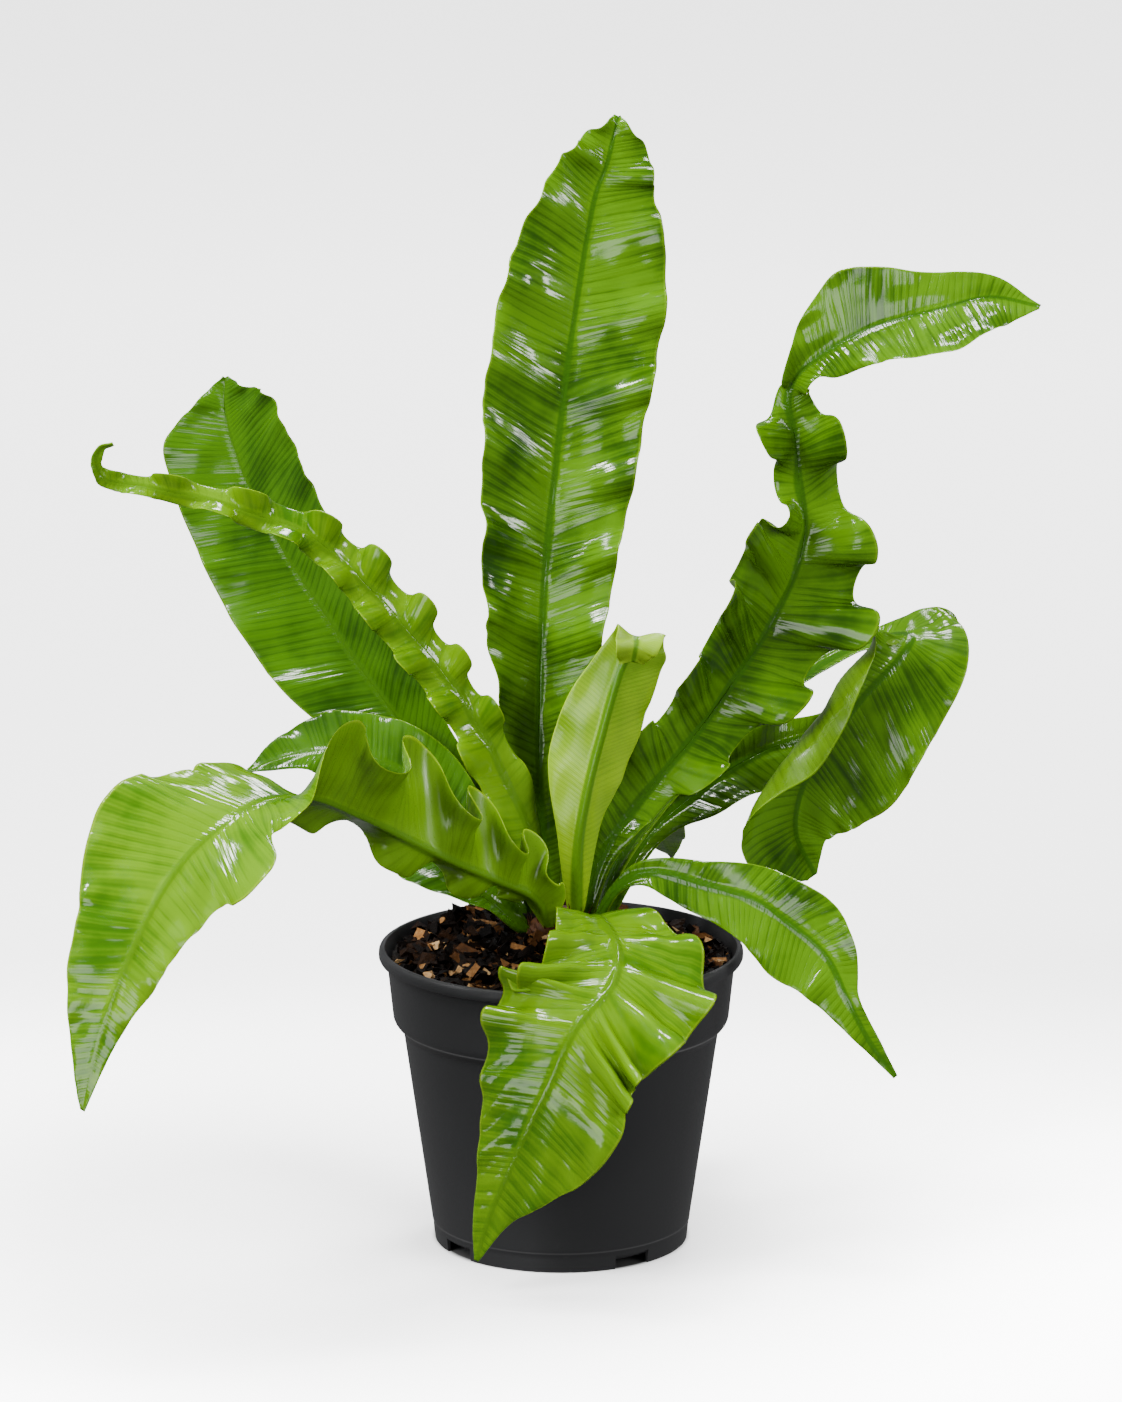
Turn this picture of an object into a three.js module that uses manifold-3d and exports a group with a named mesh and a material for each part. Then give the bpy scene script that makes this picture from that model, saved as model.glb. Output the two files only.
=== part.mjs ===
// A crispy wave bird's nest fern in a moulded nursery pot.
// Millimetres, +Z up. The origin is on the ground, on the pot's axis, and -Y is the front.
import * as THREE from "three";
import { mergeVertices } from "three/addons/utils/BufferGeometryUtils.js";
import Module from "manifold-3d";

const wasm = await Module();
wasm.setup();

const fullTurn = 2 * Math.PI;
const radians = (degrees) => (degrees * Math.PI) / 180;
const gap = 0.3; // clearance between pieces that touch
const clear = 0.4; // the same where a faceted surface is cut by another

// The pot: a tapered wall with a collar, a rolled rim, a skirt with drain notches and a holed floor.
const pot = {
  rimRadius: 75,
  height: 124,
  rimDepth: 5,
  rimLip: 2.8, // width of the flat top of the rim
  rimRound: 0.8,
  collarTop: 71.6,
  collarFoot: 69.2,
  collarFootHeight: 96,
  shoulderRadius: 65,
  shoulderHeight: 90,
  skirtTop: 53.2,
  skirtHeight: 8,
  skirtStep: 0.5,
  footRadius: 52.4,
  footBevel: 0.5,
  wall: 1.6,
  padRadius: 22, // the middle of the floor stands on the ground
  floorHeight: 3,
  floorThickness: 1.6,
  sides: 36,
  notchDirections: [-143, -55, 37, 125],
  notchWidth: 15,
  notchHeight: 5.6,
  drainHoles: 4,
  drainRadius: 4,
  drainCircle: 36,
};

// The potting mix: bark and grit, heaped a little round the crown.
const soil = {
  wallLevel: 116,
  crownLevel: 131,
  rings: 6,
  sides: 28,
  crownSpread: 0.5, // share of the radius over which the heap sinks to the wall level
  lumpHeight: 1.5,
  lumpTurns: [0.31, 0.27], // radians a millimetre across and along
  chips: 22,
  chipLength: [7, 15],
  chipWidth: [4, 7],
  chipThickness: [2, 3.5],
  chipTilt: [-0.45, 0.45],
  chipSpread: [0.1, 1], // shares of the surface's area between which the chips lie
  chipRise: 0.6,
};

// The crown: the short scaly stem that every frond grows from.
const crown = {
  outline: [[0, 112], [15, 112], [21, 120], [20, 129], [15, 134], [7.5, 140], [0, 142]],
  sides: 16,
  lobes: 5,
  lobeDepth: 0.07,
  lobeTwist: 0.08, // radians a millimetre upwards
};

// Each frond lists, spread evenly from its root to its tip:
// rib: points of the midrib; left, right: half widths of the blade, seen from its upper face, tip up;
// roll: degrees that the blade is turned about the rib; fold: degrees that each half rises from flat;
// curl: further degrees that a half bends from the rib to its margin; wave: height of its ruffles.
// a trait with Left or Right in its name is for that half alone.
// crests: where along the rib each ruffle of a margin peaks, as shares of its length.
// heading: the compass direction in which the frond leaves the crown.
const fronds = [
  {
    name: "frond_tall_centre",
    colour: 0x4f9a08,
    heading: 90,
    rows: 34,
    rib: [
      [-5, 10, 132], [-7, 11, 158], [-9, 14, 187], [-9, 18, 219], [-8, 22, 252], [-6, 27, 284],
      [-2, 32, 321], [2, 37, 355], [7, 42, 389], [13, 46, 424], [19, 47, 442], [23, 48, 460],
    ],
    left: [2.4, 6, 14, 22, 29, 32, 36, 35, 31, 21, 14, 1],
    right: [2.4, 6, 13, 24, 29, 32, 35, 37, 35, 24, 16, 1],
    roll: [0, 0],
    fold: [50, 30, 18, 12],
    curl: [0, 0],
    wave: [0, 2, 3, 3, 2.5],
    crestsLeft: [0.12, 0.2, 0.28, 0.36, 0.44, 0.52, 0.61, 0.7, 0.79, 0.88],
    crestsRight: [0.1, 0.18, 0.26, 0.34, 0.43, 0.51, 0.6, 0.68, 0.77, 0.87],
    lobe: 0.03,
    lean: 0.3,
  },
  {
    name: "frond_young",
    colour: 0x9fbf3c,
    heading: -80,
    rows: 24,
    rib: [
      [6, -3, 132], [7, -10, 167], [11, -13, 193], [17, -14, 218], [23, -15, 240], [28, -16, 253],
      [30, -20, 258], [30, -24, 255], [29, -22, 249],
    ],
    left: [2.4, 6, 18, 18, 12, 9, 9, 8, 5],
    right: [2.4, 6, 16, 20, 20, 14, 11, 8, 5],
    roll: [180, 180],
    fold: [-30, -25, -15, 0],
    curl: [0, 0],
    wave: [0, 0.4, 0.6, 0.5],
    crestsLeft: [0.2, 0.35, 0.5, 0.65, 0.8],
    crestsRight: [0.25, 0.4, 0.55, 0.7],
    lobe: 0,
    lean: 0,
  },
  {
    name: "frond_twisted_right",
    colour: 0x57a00c,
    heading: 30,
    rows: 48,
    rib: [
      [10, 1, 132], [17, 4, 160], [32, 8, 183], [53, 12, 208], [71, 16, 233], [85, 18, 255],
      [95, 20, 276], [99, 20, 294], [97, 19, 313], [95, 17, 332], [92, 14, 349], [97, 12, 361],
      [110, 6, 372], [128, 0, 382], [150, -6, 389], [171, -10, 395], [191, -14, 392],
    ],
    left: [2.4, 10, 18, 22, 30, 41, 38, 20, 8, 19, 4, 9, 26, 21, 15, 8, 1],
    right: [2.4, 6, 11, 20, 27, 33, 30, 20, 19, 18, 9, 8, 16, 20, 23, 15, 1],
    roll: [-20, -60, -82, -84, -84, -60, -25, -14, -10],
    fold: [50, 30, 30, 30, 30, 25, 20, 20, 10],
    curl: [0, 0],
    wave: [0, 3, 5, 7, 8, 4, 2, 1, 0.5],
    crestsLeft: [0.08, 0.15, 0.21, 0.28, 0.36, 0.44, 0.56, 0.67, 0.8],
    crestsRight: [0.09, 0.16, 0.235, 0.32, 0.405, 0.54, 0.67, 0.84],
    lobe: 0.18,
    lean: 0.8,
  },
  {
    name: "frond_arched_right",
    colour: 0x5ea012,
    heading: 42,
    rows: 42,
    rib: [
      [16, 7, 132], [24, 17, 153], [48, 32, 182], [80, 46, 211], [107, 56, 228], [129, 61, 238],
      [142, 57, 242], [145, 50, 241], [139, 42, 234], [125, 34, 221], [111, 29, 203],
      [100, 26, 185], [97, 24, 166], [105, 24, 148],
    ],
    left: [2.4, 5, 6, 6, 5, 6, 18, 25, 32, 38, 34, 25, 13, 1],
    right: [2.4, 5, 6, 6, 5, 6, 12, 20, 30, 35, 36, 33, 24, 4],
    roll: [0, 0, 0, 0, 15, 53, 63, 66, 66, 65],
    fold: [50, 30, 15, 10, 5, 0, 0, 0],
    curl: [0, 0],
    curlRight: [0, 0, 0, 0, 0, 0, 0, 30, 120, 172, 175, 110, 40, 0],
    wave: [0, 0, 0, 1, 1, 0.8, 0.5],
    crestsLeft: [0.15, 0.25, 0.35, 0.45, 0.55, 0.65, 0.75, 0.85],
    crestsRight: [0.12, 0.22, 0.32, 0.42, 0.52, 0.62, 0.72, 0.82],
    lobe: 0.03,
    lean: 0.3,
  },
  {
    name: "frond_straight_right",
    colour: 0x4c900c,
    heading: 38,
    rows: 26,
    rib: [
      [15, 13, 125], [33, 33, 157], [58, 50, 177], [84, 64, 190], [111, 78, 196], [131, 88, 208],
      [147, 95, 220], [158, 99, 226], [168, 101, 226],
    ],
    left: [2.4, 8, 14, 11, 8, 9, 14, 17, 4],
    right: [2.4, 8, 16, 14, 9, 8, 11, 11, 3],
    roll: [-20, -55, -60, -60],
    fold: [50, 20, 10, 5],
    curl: [0, 0],
    wave: [0, 1.5, 1.5, 1, 0.5],
    crestsLeft: [0.12, 0.24, 0.36, 0.48, 0.6, 0.75],
    crestsRight: [0.15, 0.27, 0.38, 0.5, 0.62, 0.78],
    lobe: 0.05,
    lean: 0.3,
  },
  {
    name: "frond_low_right",
    colour: 0x55a00c,
    heading: -15,
    rows: 28,
    rib: [
      [13, -5, 132], [23, -8, 150], [36, -12, 158], [57, -20, 155], [77, -28, 151], [93, -35, 142],
      [107, -42, 131], [115, -48, 116], [124, -52, 99], [135, -54, 84],
    ],
    left: [2.4, 3, 6, 11, 15, 18, 12, 5, 4, 1],
    right: [2.4, 3, 8, 13, 19, 21, 17, 10, 4, 1],
    roll: [-60, -70, -68, -65, -62],
    fold: [40, 10, 5, 5],
    curl: [0, 0],
    wave: [0, 0.5, 1, 1, 0.5],
    crestsLeft: [0.2, 0.35, 0.5, 0.64, 0.8],
    crestsRight: [0.25, 0.4, 0.55, 0.7, 0.85],
    lobe: 0.04,
    lean: 0.3,
  },
  {
    name: "frond_front",
    colour: 0x63ad0c,
    heading: -80,
    rows: 36,
    rib: [
      [8, -9, 132], [14, -24, 142], [20, -42, 141], [23, -60, 136], [20, -76, 128], [10, -86, 119],
      [2, -91, 108], [-4, -93, 94], [-12, -93, 77], [-20, -91, 57], [-28, -88, 37], [-34, -84, 16],
    ],
    left: [2.4, 18, 29, 38, 36, 35, 35, 34, 31, 19, 8, 1],
    right: [2.4, 20, 28, 36, 38, 36, 32, 27, 20, 13, 7, 1],
    roll: [0, 0, 0, 5, 10, 10],
    fold: [30, 0, -5, -5, 0],
    curl: [0, 0],
    wave: [0, 3, 2, 2.5, 1, 0.5],
    crestsLeft: [0.1, 0.2, 0.3, 0.4, 0.5, 0.65],
    crestsRight: [0.1, 0.2, 0.3, 0.4, 0.55],
    lobe: 0.05,
    lean: 0.3,
  },
  {
    name: "frond_big_left",
    colour: 0x6cb40e,
    heading: -140,
    rows: 48,
    rib: [
      [-4, -8, 132], [-10, -17, 148], [-23, -30, 158], [-41, -46, 170], [-60, -62, 184],
      [-80, -80, 199], [-97, -96, 210], [-114, -112, 213], [-129, -126, 209], [-146, -138, 196],
      [-159, -148, 177], [-170, -156, 153], [-179, -160, 128], [-185, -162, 103],
    ],
    left: [2.4, 14, 22, 27, 31, 32, 30, 27, 28, 26, 17, 12, 6, 1],
    right: [2.4, 8, 10, 12, 13, 14, 22, 33, 38, 37, 26, 20, 10, 1],
    roll: [0, -50, -63, -55, -5, 30, 38, 40, 40],
    fold: [50, 30, 25, 20, 10, 0, 0, 0],
    curl: [0, 0],
    lobeLeft: 0.28,
    wave: [0.5, 7, 9, 8, 5, 2, 1, 1],
    crestsLeft: [0.0, 0.055, 0.11, 0.19, 0.285, 0.46, 0.62, 0.8],
    crestsRight: [0.06, 0.14, 0.23, 0.35, 0.5, 0.64, 0.8],
    lobe: 0.08,
    lean: 0.9,
  },
  {
    name: "frond_broad_left",
    colour: 0x3f8408,
    heading: 140,
    rows: 28,
    rib: [
      [-9, 10, 131], [-26, 23, 159], [-48, 41, 184], [-66, 56, 204], [-83, 69, 224], [-100, 81, 247],
      [-115, 91, 268], [-128, 98, 290], [-137, 104, 311], [-141, 108, 327], [-141, 110, 341],
    ],
    left: [2.4, 8, 18, 26, 33, 34, 32, 30, 28, 12, 1],
    right: [2.4, 8, 18, 26, 31, 32, 33, 33, 30, 20, 1],
    roll: [40, 65, 72, 75],
    fold: [50, 30, 20, 20],
    curl: [0, 0],
    wave: [0, 1, 1, 1, 1],
    crestsLeft: [0.1, 0.2, 0.3, 0.4, 0.5, 0.6, 0.7, 0.8, 0.9],
    crestsRight: [0.15, 0.25, 0.35, 0.45, 0.55, 0.65, 0.75, 0.85],
    lobe: 0.02,
    lean: 0.2,
  },
  {
    name: "frond_crisped_left",
    colour: 0x7cc014,
    heading: 170,
    rows: 48,
    rib: [
      [-6, 0, 132], [-13, -2, 169], [-24, -4, 197], [-35, -6, 220], [-46, -8, 238], [-59, -10, 255],
      [-73, -12, 272], [-87, -14, 287], [-101, -16, 299], [-119, -18, 307], [-137, -20, 313],
      [-155, -22, 318], [-170, -24, 321], [-182, -26, 324], [-186, -28, 330], [-184, -28, 337],
      [-179, -28, 339],
    ],
    left: [2.4, 12, 18, 14, 13, 13, 12, 9, 7, 6, 5, 4, 4, 3, 3, 2, 1],
    right: [2.4, 5, 7, 5, 8, 11, 12, 11, 9, 8, 7, 6, 5, 4, 3, 2, 1],
    roll: [30, 55, 60, 60, 60, 60, 60, 60],
    fold: [50, 30, 20, 20, 20, 20, 20, 20, 20],
    curl: [0, 0],
    wave: [0, 2, 4, 5, 5, 5, 4, 2, 0.5, 0],
    crestsLeft: [0.08, 0.15, 0.22, 0.29, 0.36, 0.43, 0.52, 0.62, 0.74],
    crestsRight: [0.1, 0.18, 0.25, 0.32, 0.4, 0.48, 0.58, 0.69, 0.8],
    lobe: 0.3,
    lean: 0.6,
  },
  {
    name: "frond_side_left",
    colour: 0x3d7f0c,
    heading: 165,
    rows: 22,
    rib: [
      [-14, 3, 131], [-26, 12, 151], [-40, 18, 169], [-56, 25, 185], [-74, 32, 194], [-93, 38, 197],
      [-111, 42, 194], [-130, 44, 187],
    ],
    left: [2.4, 8, 13, 16, 14, 11, 6, 1],
    right: [2.4, 8, 14, 18, 18, 16, 10, 1],
    roll: [30, 50, 52, 50],
    fold: [40, 20, 10, 10],
    curl: [0, 0],
    wave: [0, 1, 1, 0.5],
    crestsLeft: [0.2, 0.4, 0.6, 0.8],
    crestsRight: [0.3, 0.5, 0.7],
    lobe: 0.03,
    lean: 0.2,
  },
  {
    name: "frond_low_left",
    colour: 0x2f6a08,
    heading: 180,
    rows: 18,
    rib: [
      [-12, -6, 130], [-27, -10, 145], [-44, -9, 158], [-62, -5, 169], [-79, -1, 181],
      [-96, 2, 193],
    ],
    left: [2.4, 12, 19, 15, 6, 1],
    right: [2.4, 8, 12, 12, 9, 1],
    roll: [40, 58, 60],
    fold: [40, 20, 10],
    curl: [0, 0],
    wave: [0, 0.5, 0.5],
    crestsLeft: [0.2, 0.4, 0.6, 0.8],
    crestsRight: [0.3, 0.5, 0.7],
    lobe: 0.03,
    lean: 0.2,
  },
  {
    name: "frond_back",
    colour: 0x438a0a,
    heading: 95,
    rows: 22,
    rib: [
      [-1, 17, 131], [-3, 28, 158], [-6, 44, 188], [-9, 64, 214], [-11, 88, 232], [-13, 114, 240],
      [-14, 138, 236],
    ],
    left: [2.4, 6, 11, 17, 20, 15, 1],
    right: [2.4, 6, 11, 17, 20, 15, 1],
    roll: [0, 0],
    fold: [50, 30, 15, 5],
    curl: [0, 0],
    wave: [0, 1.5, 2, 1],
    crestsLeft: [0.2, 0.35, 0.5, 0.65, 0.8],
    crestsRight: [0.27, 0.42, 0.57, 0.72],
    lobe: 0.04,
    lean: 0.4,
  },
  {
    name: "frond_back_right",
    colour: 0x438a0a,
    heading: 60,
    rows: 18,
    rib: [
      [7, 15, 131], [14, 30, 146], [22, 48, 156], [31, 68, 158], [40, 88, 150], [47, 106, 134],
    ],
    left: [2.4, 6, 12, 15, 12, 1],
    right: [2.4, 6, 12, 15, 12, 1],
    roll: [0, 0],
    fold: [40, 20, 5],
    curl: [0, 0],
    wave: [0, 1, 1],
    crestsLeft: [0.2, 0.4, 0.6, 0.8],
    crestsRight: [0.3, 0.5, 0.7],
    lobe: 0.04,
    lean: 0.3,
  },
];

const socketDepth = 18; // length of the sockets in which the fronds stand

const blade = {
  thickness: 0.8,
  ribHeight: 1.1, // how far the midrib stands out on either face, near the root
  ribTaper: 0.8, // share of that height lost by the tip
  ribHalfWidth: 2,
  stalkHeight: 2, // half the thickness of the stalk at the root
  stalkShare: 0.1, // share of the length over which the stalk flattens into the blade
  sweep: 22, // degrees that the side veins lean towards the tip
  waveGrowth: 1.4, // how quickly a ruffle grows towards the margin
  frameSteps: 480,
  tangentStep: 0.002,
  leastHalfWidth: 0.8,
  middleColumn: 0.55, // where the ring of points between rib and margin lies
  mostBeside: 0.3, // share of the half width that the midrib may take near the root and the tip
  fullLeanWave: 3, // ruffles lower than this lean less
  startTilt: 0.5, // how far the upper face leans back towards the crown at the root
};

// A smooth value along an evenly spread list, for numbers or for points.
function along(list, share) {
  const spans = list.length - 1;
  const i = Math.min(Math.floor(share * spans), spans - 1);
  const t = share * spans - i;
  const mirror = (end, next) => (Array.isArray(end) ? end.map((v, k) => 2 * v - next[k]) : 2 * end - next);
  const p1 = list[i];
  const p2 = list[i + 1];
  const p0 = i > 0 ? list[i - 1] : mirror(p1, p2);
  const p3 = i + 2 <= spans ? list[i + 2] : mirror(p2, p1);
  const blend = (a, b, c, d) =>
    b + 0.5 * t * (c - a + t * (2 * a - 5 * b + 4 * c - d + t * (3 * (b - c) + d - a)));
  return Array.isArray(p1) ? p1.map((v, k) => blend(p0[k], v, p2[k], p3[k])) : blend(p0, p1, p2, p3);
}

// The phase of a ruffle in turns: whole numbers at the crests.
function turns(crests, share) {
  const last = crests.length - 1;
  if (share <= crests[0]) return (share - crests[0]) / (crests[1] - crests[0]);
  if (share >= crests[last]) return last + (share - crests[last]) / (crests[last] - crests[last - 1]);
  const i = crests.findIndex((c) => c > share) - 1;
  return i + (share - crests[i]) / (crests[i + 1] - crests[i]);
}

// Axes along a frond: tangent, side and upper normal, carried up the rib without twisting.
function frames(frond) {
  const rib = (share) => new THREE.Vector3(...along(frond.rib, share));
  const heading = radians(frond.heading);
  const upper = new THREE.Vector3(-Math.cos(heading), -Math.sin(heading), 1 / blade.startTilt);
  const made = [];
  for (let i = 0; i <= blade.frameSteps; i++) {
    const share = i / blade.frameSteps;
    const ahead = rib(Math.min(share + blade.tangentStep, 1));
    const tangent = ahead.sub(rib(Math.max(share - blade.tangentStep, 0))).normalize();
    upper.addScaledVector(tangent, -upper.dot(tangent)).normalize();
    made.push({ at: rib(share), tangent, upper: upper.clone(), side: tangent.clone().cross(upper) });
  }
  return made;
}

// A point of the blade's middle surface. across runs from -1 at the left margin to 1 at the right.
function bladePoint(frond, frame, share, across) {
  const hand = across < 0 ? "Left" : "Right";
  const sign = across < 0 ? -1 : 1;
  const reach = Math.abs(across);
  const phase = fullTurn * turns(frond["crests" + hand], share);
  const grown = reach ** blade.waveGrowth;
  const halfWidth = Math.max(along(sign < 0 ? frond.left : frond.right, share), blade.leastHalfWidth);
  const lobe = frond["lobe" + hand] ?? frond.lobe;
  const width = halfWidth * (1 + lobe * Math.cos(phase) * grown);
  const own = (trait) => along(frond[trait + hand] ?? frond[trait], share);
  const grownFromStalk = 1 - stalkAt(share);
  const rise = radians(own("fold")) * grownFromStalk;
  const bend = radians(own("curl")) || 1e-6;
  const slope = rise + bend * reach;
  const out = (width * (Math.sin(slope) - Math.sin(rise))) / bend;
  const up = (width * (Math.cos(rise) - Math.cos(slope))) / bend;
  const wave = Math.max(own("wave"), 0) * grown * grownFromStalk;
  const spacing = frameLength(frond) / frond["crests" + hand].length;
  const lean = ((frond.lean * spacing) / (2 * fullTurn)) * grown * Math.min(1, wave / blade.fullLeanWave);
  const forward = width * reach * Math.tan(radians(blade.sweep)) + lean * Math.sin(2 * phase);
  const roll = radians(along(frond.roll, share));
  const side = frame.side.clone().multiplyScalar(Math.cos(roll));
  side.addScaledVector(frame.upper, Math.sin(roll));
  const upper = frame.upper.clone().multiplyScalar(Math.cos(roll));
  upper.addScaledVector(frame.side, -Math.sin(roll));
  const lift = wave * Math.cos(phase);
  return frame.at
    .clone()
    .addScaledVector(side, sign * (out - lift * Math.sin(slope)))
    .addScaledVector(upper, up + lift * Math.cos(slope))
    .addScaledVector(frame.tangent, forward);
}

function frameLength(frond) {
  frond.length ??= new THREE.CatmullRomCurve3(frond.rib.map((p) => new THREE.Vector3(...p))).getLength();
  return frond.length;
}

// How much of a frond is stalk there: 1 at the root, fading to 0 in the blade.
function stalkAt(share) {
  return Math.exp(-((share / blade.stalkShare) ** 2));
}

// Half the thickness: a rounded stalk at the root, then a thin blade.
function halfThickness(share, across) {
  const round = Math.sqrt(Math.max(1 - across * across, 0));
  return blade.thickness / 2 + (blade.stalkHeight - blade.thickness / 2) * stalkAt(share) * round;
}

// One frond as a closed solid. grow thickens it, for the socket that its first rows stand in.
function frondGeometry(frond, grow = 0, rows = frond.rows) {
  const line = frames(frond);
  const grid = [];
  for (let i = 0; i <= rows; i++) {
    const share = i / frond.rows;
    const frame = line[Math.round(share * blade.frameSteps)];
    const width = Math.max(along(frond.left, share), along(frond.right, share), blade.leastHalfWidth);
    const beside = Math.min(blade.ribHalfWidth / width, blade.mostBeside);
    const { middleColumn } = blade;
    const columns = [-1, -middleColumn, -beside, 0, beside, middleColumn, 1];
    grid.push(columns.map((across) => ({ share, across, at: bladePoint(frond, frame, share, across) })));
  }
  const count = grid[0].length;
  const positions = [];
  for (const face of [1, -1]) {
    grid.forEach((row, i) =>
      row.forEach((point, j) => {
        const up = grid[Math.min(i + 1, rows)][j].at.clone().sub(grid[Math.max(i - 1, 0)][j].at);
        const over = row[Math.min(j + 1, count - 1)].at.clone().sub(row[Math.max(j - 1, 0)].at);
        const normal = over.cross(up).normalize();
        const ridge = point.across === 0 ? blade.ribHeight * (1 - blade.ribTaper * point.share) : 0;
        const half = halfThickness(point.share, point.across) + ridge + grow;
        const edge = grow && Math.abs(point.across) === 1 ? Math.sign(point.across) * grow : 0;
        const outward = row[count - 1].at.clone().sub(row[0].at).normalize();
        const spot = point.at.clone().addScaledVector(normal, face * half).addScaledVector(outward, edge);
        if (i === 0) spot.addScaledVector(line[0].tangent, -grow);
        positions.push(spot.x, spot.y, spot.z);
      }),
    );
  }
  return closedSheet(positions, rows, count);
}

// Faces of a sheet whose upper points come first: both faces are split alike, then the rim is closed.
function closedSheet(positions, rows, count) {
  const under = (rows + 1) * count;
  const index = [];
  const quad = (a, b, c, d) => index.push(a, b, c, a, c, d);
  for (let i = 0; i < rows; i++)
    for (let j = 0; j < count - 1; j++) {
      const a = i * count + j;
      const b = a + 1;
      const c = b + count;
      const d = a + count;
      quad(a, b, c, d);
      index.push(under + a, under + c, under + b, under + a, under + d, under + c);
    }
  for (let i = 0; i < rows; i++) {
    const left = i * count;
    const right = left + count - 1;
    quad(left, left + count, under + left + count, under + left);
    quad(right, under + right, under + right + count, right + count);
  }
  const tip = rows * count;
  for (let j = 0; j < count - 1; j++) {
    quad(j, under + j, under + j + 1, j + 1);
    quad(tip + j, tip + j + 1, under + tip + j + 1, under + tip + j);
  }
  const geometry = new THREE.BufferGeometry();
  geometry.setAttribute("position", new THREE.Float32BufferAttribute(positions, 3));
  geometry.setIndex(index);
  return geometry;
}

// Between three.js geometry and solids that can be joined and cut.
function toSolid(geometry) {
  const bare = new THREE.BufferGeometry();
  bare.setAttribute("position", geometry.getAttribute("position"));
  if (geometry.index) bare.setIndex(geometry.index);
  const merged = mergeVertices(bare, 1e-3);
  return new wasm.Manifold(
    new wasm.Mesh({
      numProp: 3,
      vertProperties: new Float32Array(merged.attributes.position.array),
      triVerts: new Uint32Array(merged.index.array),
    }),
  );
}

function fromSolid(solid) {
  const mesh = solid.getMesh();
  const geometry = new THREE.BufferGeometry();
  geometry.setAttribute("position", new THREE.Float32BufferAttribute(mesh.vertProperties, 3));
  geometry.setIndex(Array.from(mesh.triVerts));
  geometry.computeVertexNormals();
  return geometry;
}

// A turned shape about the Z axis, from [radius, height] points that start and end on the axis.
function turned(profile, sides) {
  const lathe = new THREE.LatheGeometry(
    profile.map(([r, z]) => new THREE.Vector2(r, z)),
    sides,
  );
  return lathe.rotateX(Math.PI / 2);
}

// Repeatable draws for the bark chips.
let drawState = 7;
function draw([low, high]) {
  drawState = (drawState * 16807) % 2147483647;
  return low + ((high - low) * (drawState % 10007)) / 10007;
}

function potInside(height) {
  const { wall, floorHeight, floorThickness } = pot;
  const inner = [
    [pot.skirtTop - wall, floorHeight + floorThickness],
    [pot.shoulderRadius - wall, pot.shoulderHeight],
    [pot.collarFoot - wall, pot.collarFootHeight],
    [pot.rimRadius - pot.rimLip, pot.height],
  ];
  const above = inner.findIndex(([, z]) => z >= height);
  if (above <= 0) return inner[0][0];
  const [r0, z0] = inner[above - 1];
  const [r1, z1] = inner[above];
  return r0 + ((r1 - r0) * (height - z0)) / (z1 - z0);
}

function makePot() {
  const p = pot;
  const floorTop = p.floorHeight + p.floorThickness;
  const outside = [
    [p.padRadius, 0],
    [p.padRadius + 2, p.floorHeight],
    [p.footRadius - p.wall - p.footBevel, p.floorHeight],
    [p.footRadius - p.wall, 0],
    [p.footRadius - p.footBevel, 0],
    [p.footRadius, p.footBevel],
    [p.skirtTop - p.skirtStep, p.skirtHeight],
    [p.skirtTop, p.skirtHeight + p.skirtStep],
    [p.shoulderRadius, p.shoulderHeight - 1],
    [p.shoulderRadius + 1, p.shoulderHeight + 0.6],
    [p.collarFoot - 1.2, p.collarFootHeight - 3],
    [p.collarFoot - 0.2, p.collarFootHeight - 0.4],
    [p.collarFoot, p.collarFootHeight + 1],
    [p.collarTop, p.height - p.rimDepth],
    [p.rimRadius - p.rimRound, p.height - p.rimDepth],
    [p.rimRadius, p.height - p.rimDepth + p.rimRound],
    [p.rimRadius, p.height - 2 * p.rimRound],
    [p.rimRadius - p.rimRound, p.height - p.rimRound / 2],
    [p.rimRadius - 2 * p.rimRound, p.height],
    [p.rimRadius - p.rimLip, p.height],
  ];
  const inside = [
    [potInside(p.collarFootHeight), p.collarFootHeight],
    [potInside(p.shoulderHeight), p.shoulderHeight],
    [potInside(floorTop), floorTop],
    [p.padRadius + 2, floorTop],
    [p.padRadius, p.floorThickness],
  ];
  const profile = [[0, 0], ...outside, ...inside, [0, p.floorThickness]];
  let solid = toSolid(turned(profile, p.sides));
  for (const direction of p.notchDirections) {
    const notch = new THREE.BoxGeometry(4 * p.wall, p.notchWidth, 2 * p.notchHeight);
    notch.translate(p.footRadius, 0, 0);
    solid = solid.subtract(toSolid(notch.rotateZ(radians(direction))));
  }
  for (let i = 0; i < p.drainHoles; i++) {
    const hole = new THREE.CylinderGeometry(p.drainRadius, p.drainRadius, 4 * p.floorThickness, 12);
    hole.rotateX(Math.PI / 2).translate(p.drainCircle, 0, p.floorHeight);
    solid = solid.subtract(toSolid(hole.rotateZ((fullTurn * (i + 0.5)) / p.drainHoles)));
  }
  return solid;
}

// Height of the potting mix: heaped towards the crown, with lumps.
function soilHeight(x, y) {
  const r = Math.hypot(x, y) / potInside(soil.wallLevel);
  const heap = Math.exp(-((r / soil.crownSpread) ** 2));
  const [turnsX, turnsY] = soil.lumpTurns;
  const lumps = Math.sin(turnsX * x + Math.sin(turnsY * y)) + Math.sin(turnsY * y + Math.sin(turnsX * x));
  const edge = Math.max(0, Math.min(1, 4 * (1 - r)));
  return soil.wallLevel + (soil.crownLevel - soil.wallLevel) * heap + soil.lumpHeight * lumps * edge;
}

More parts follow.
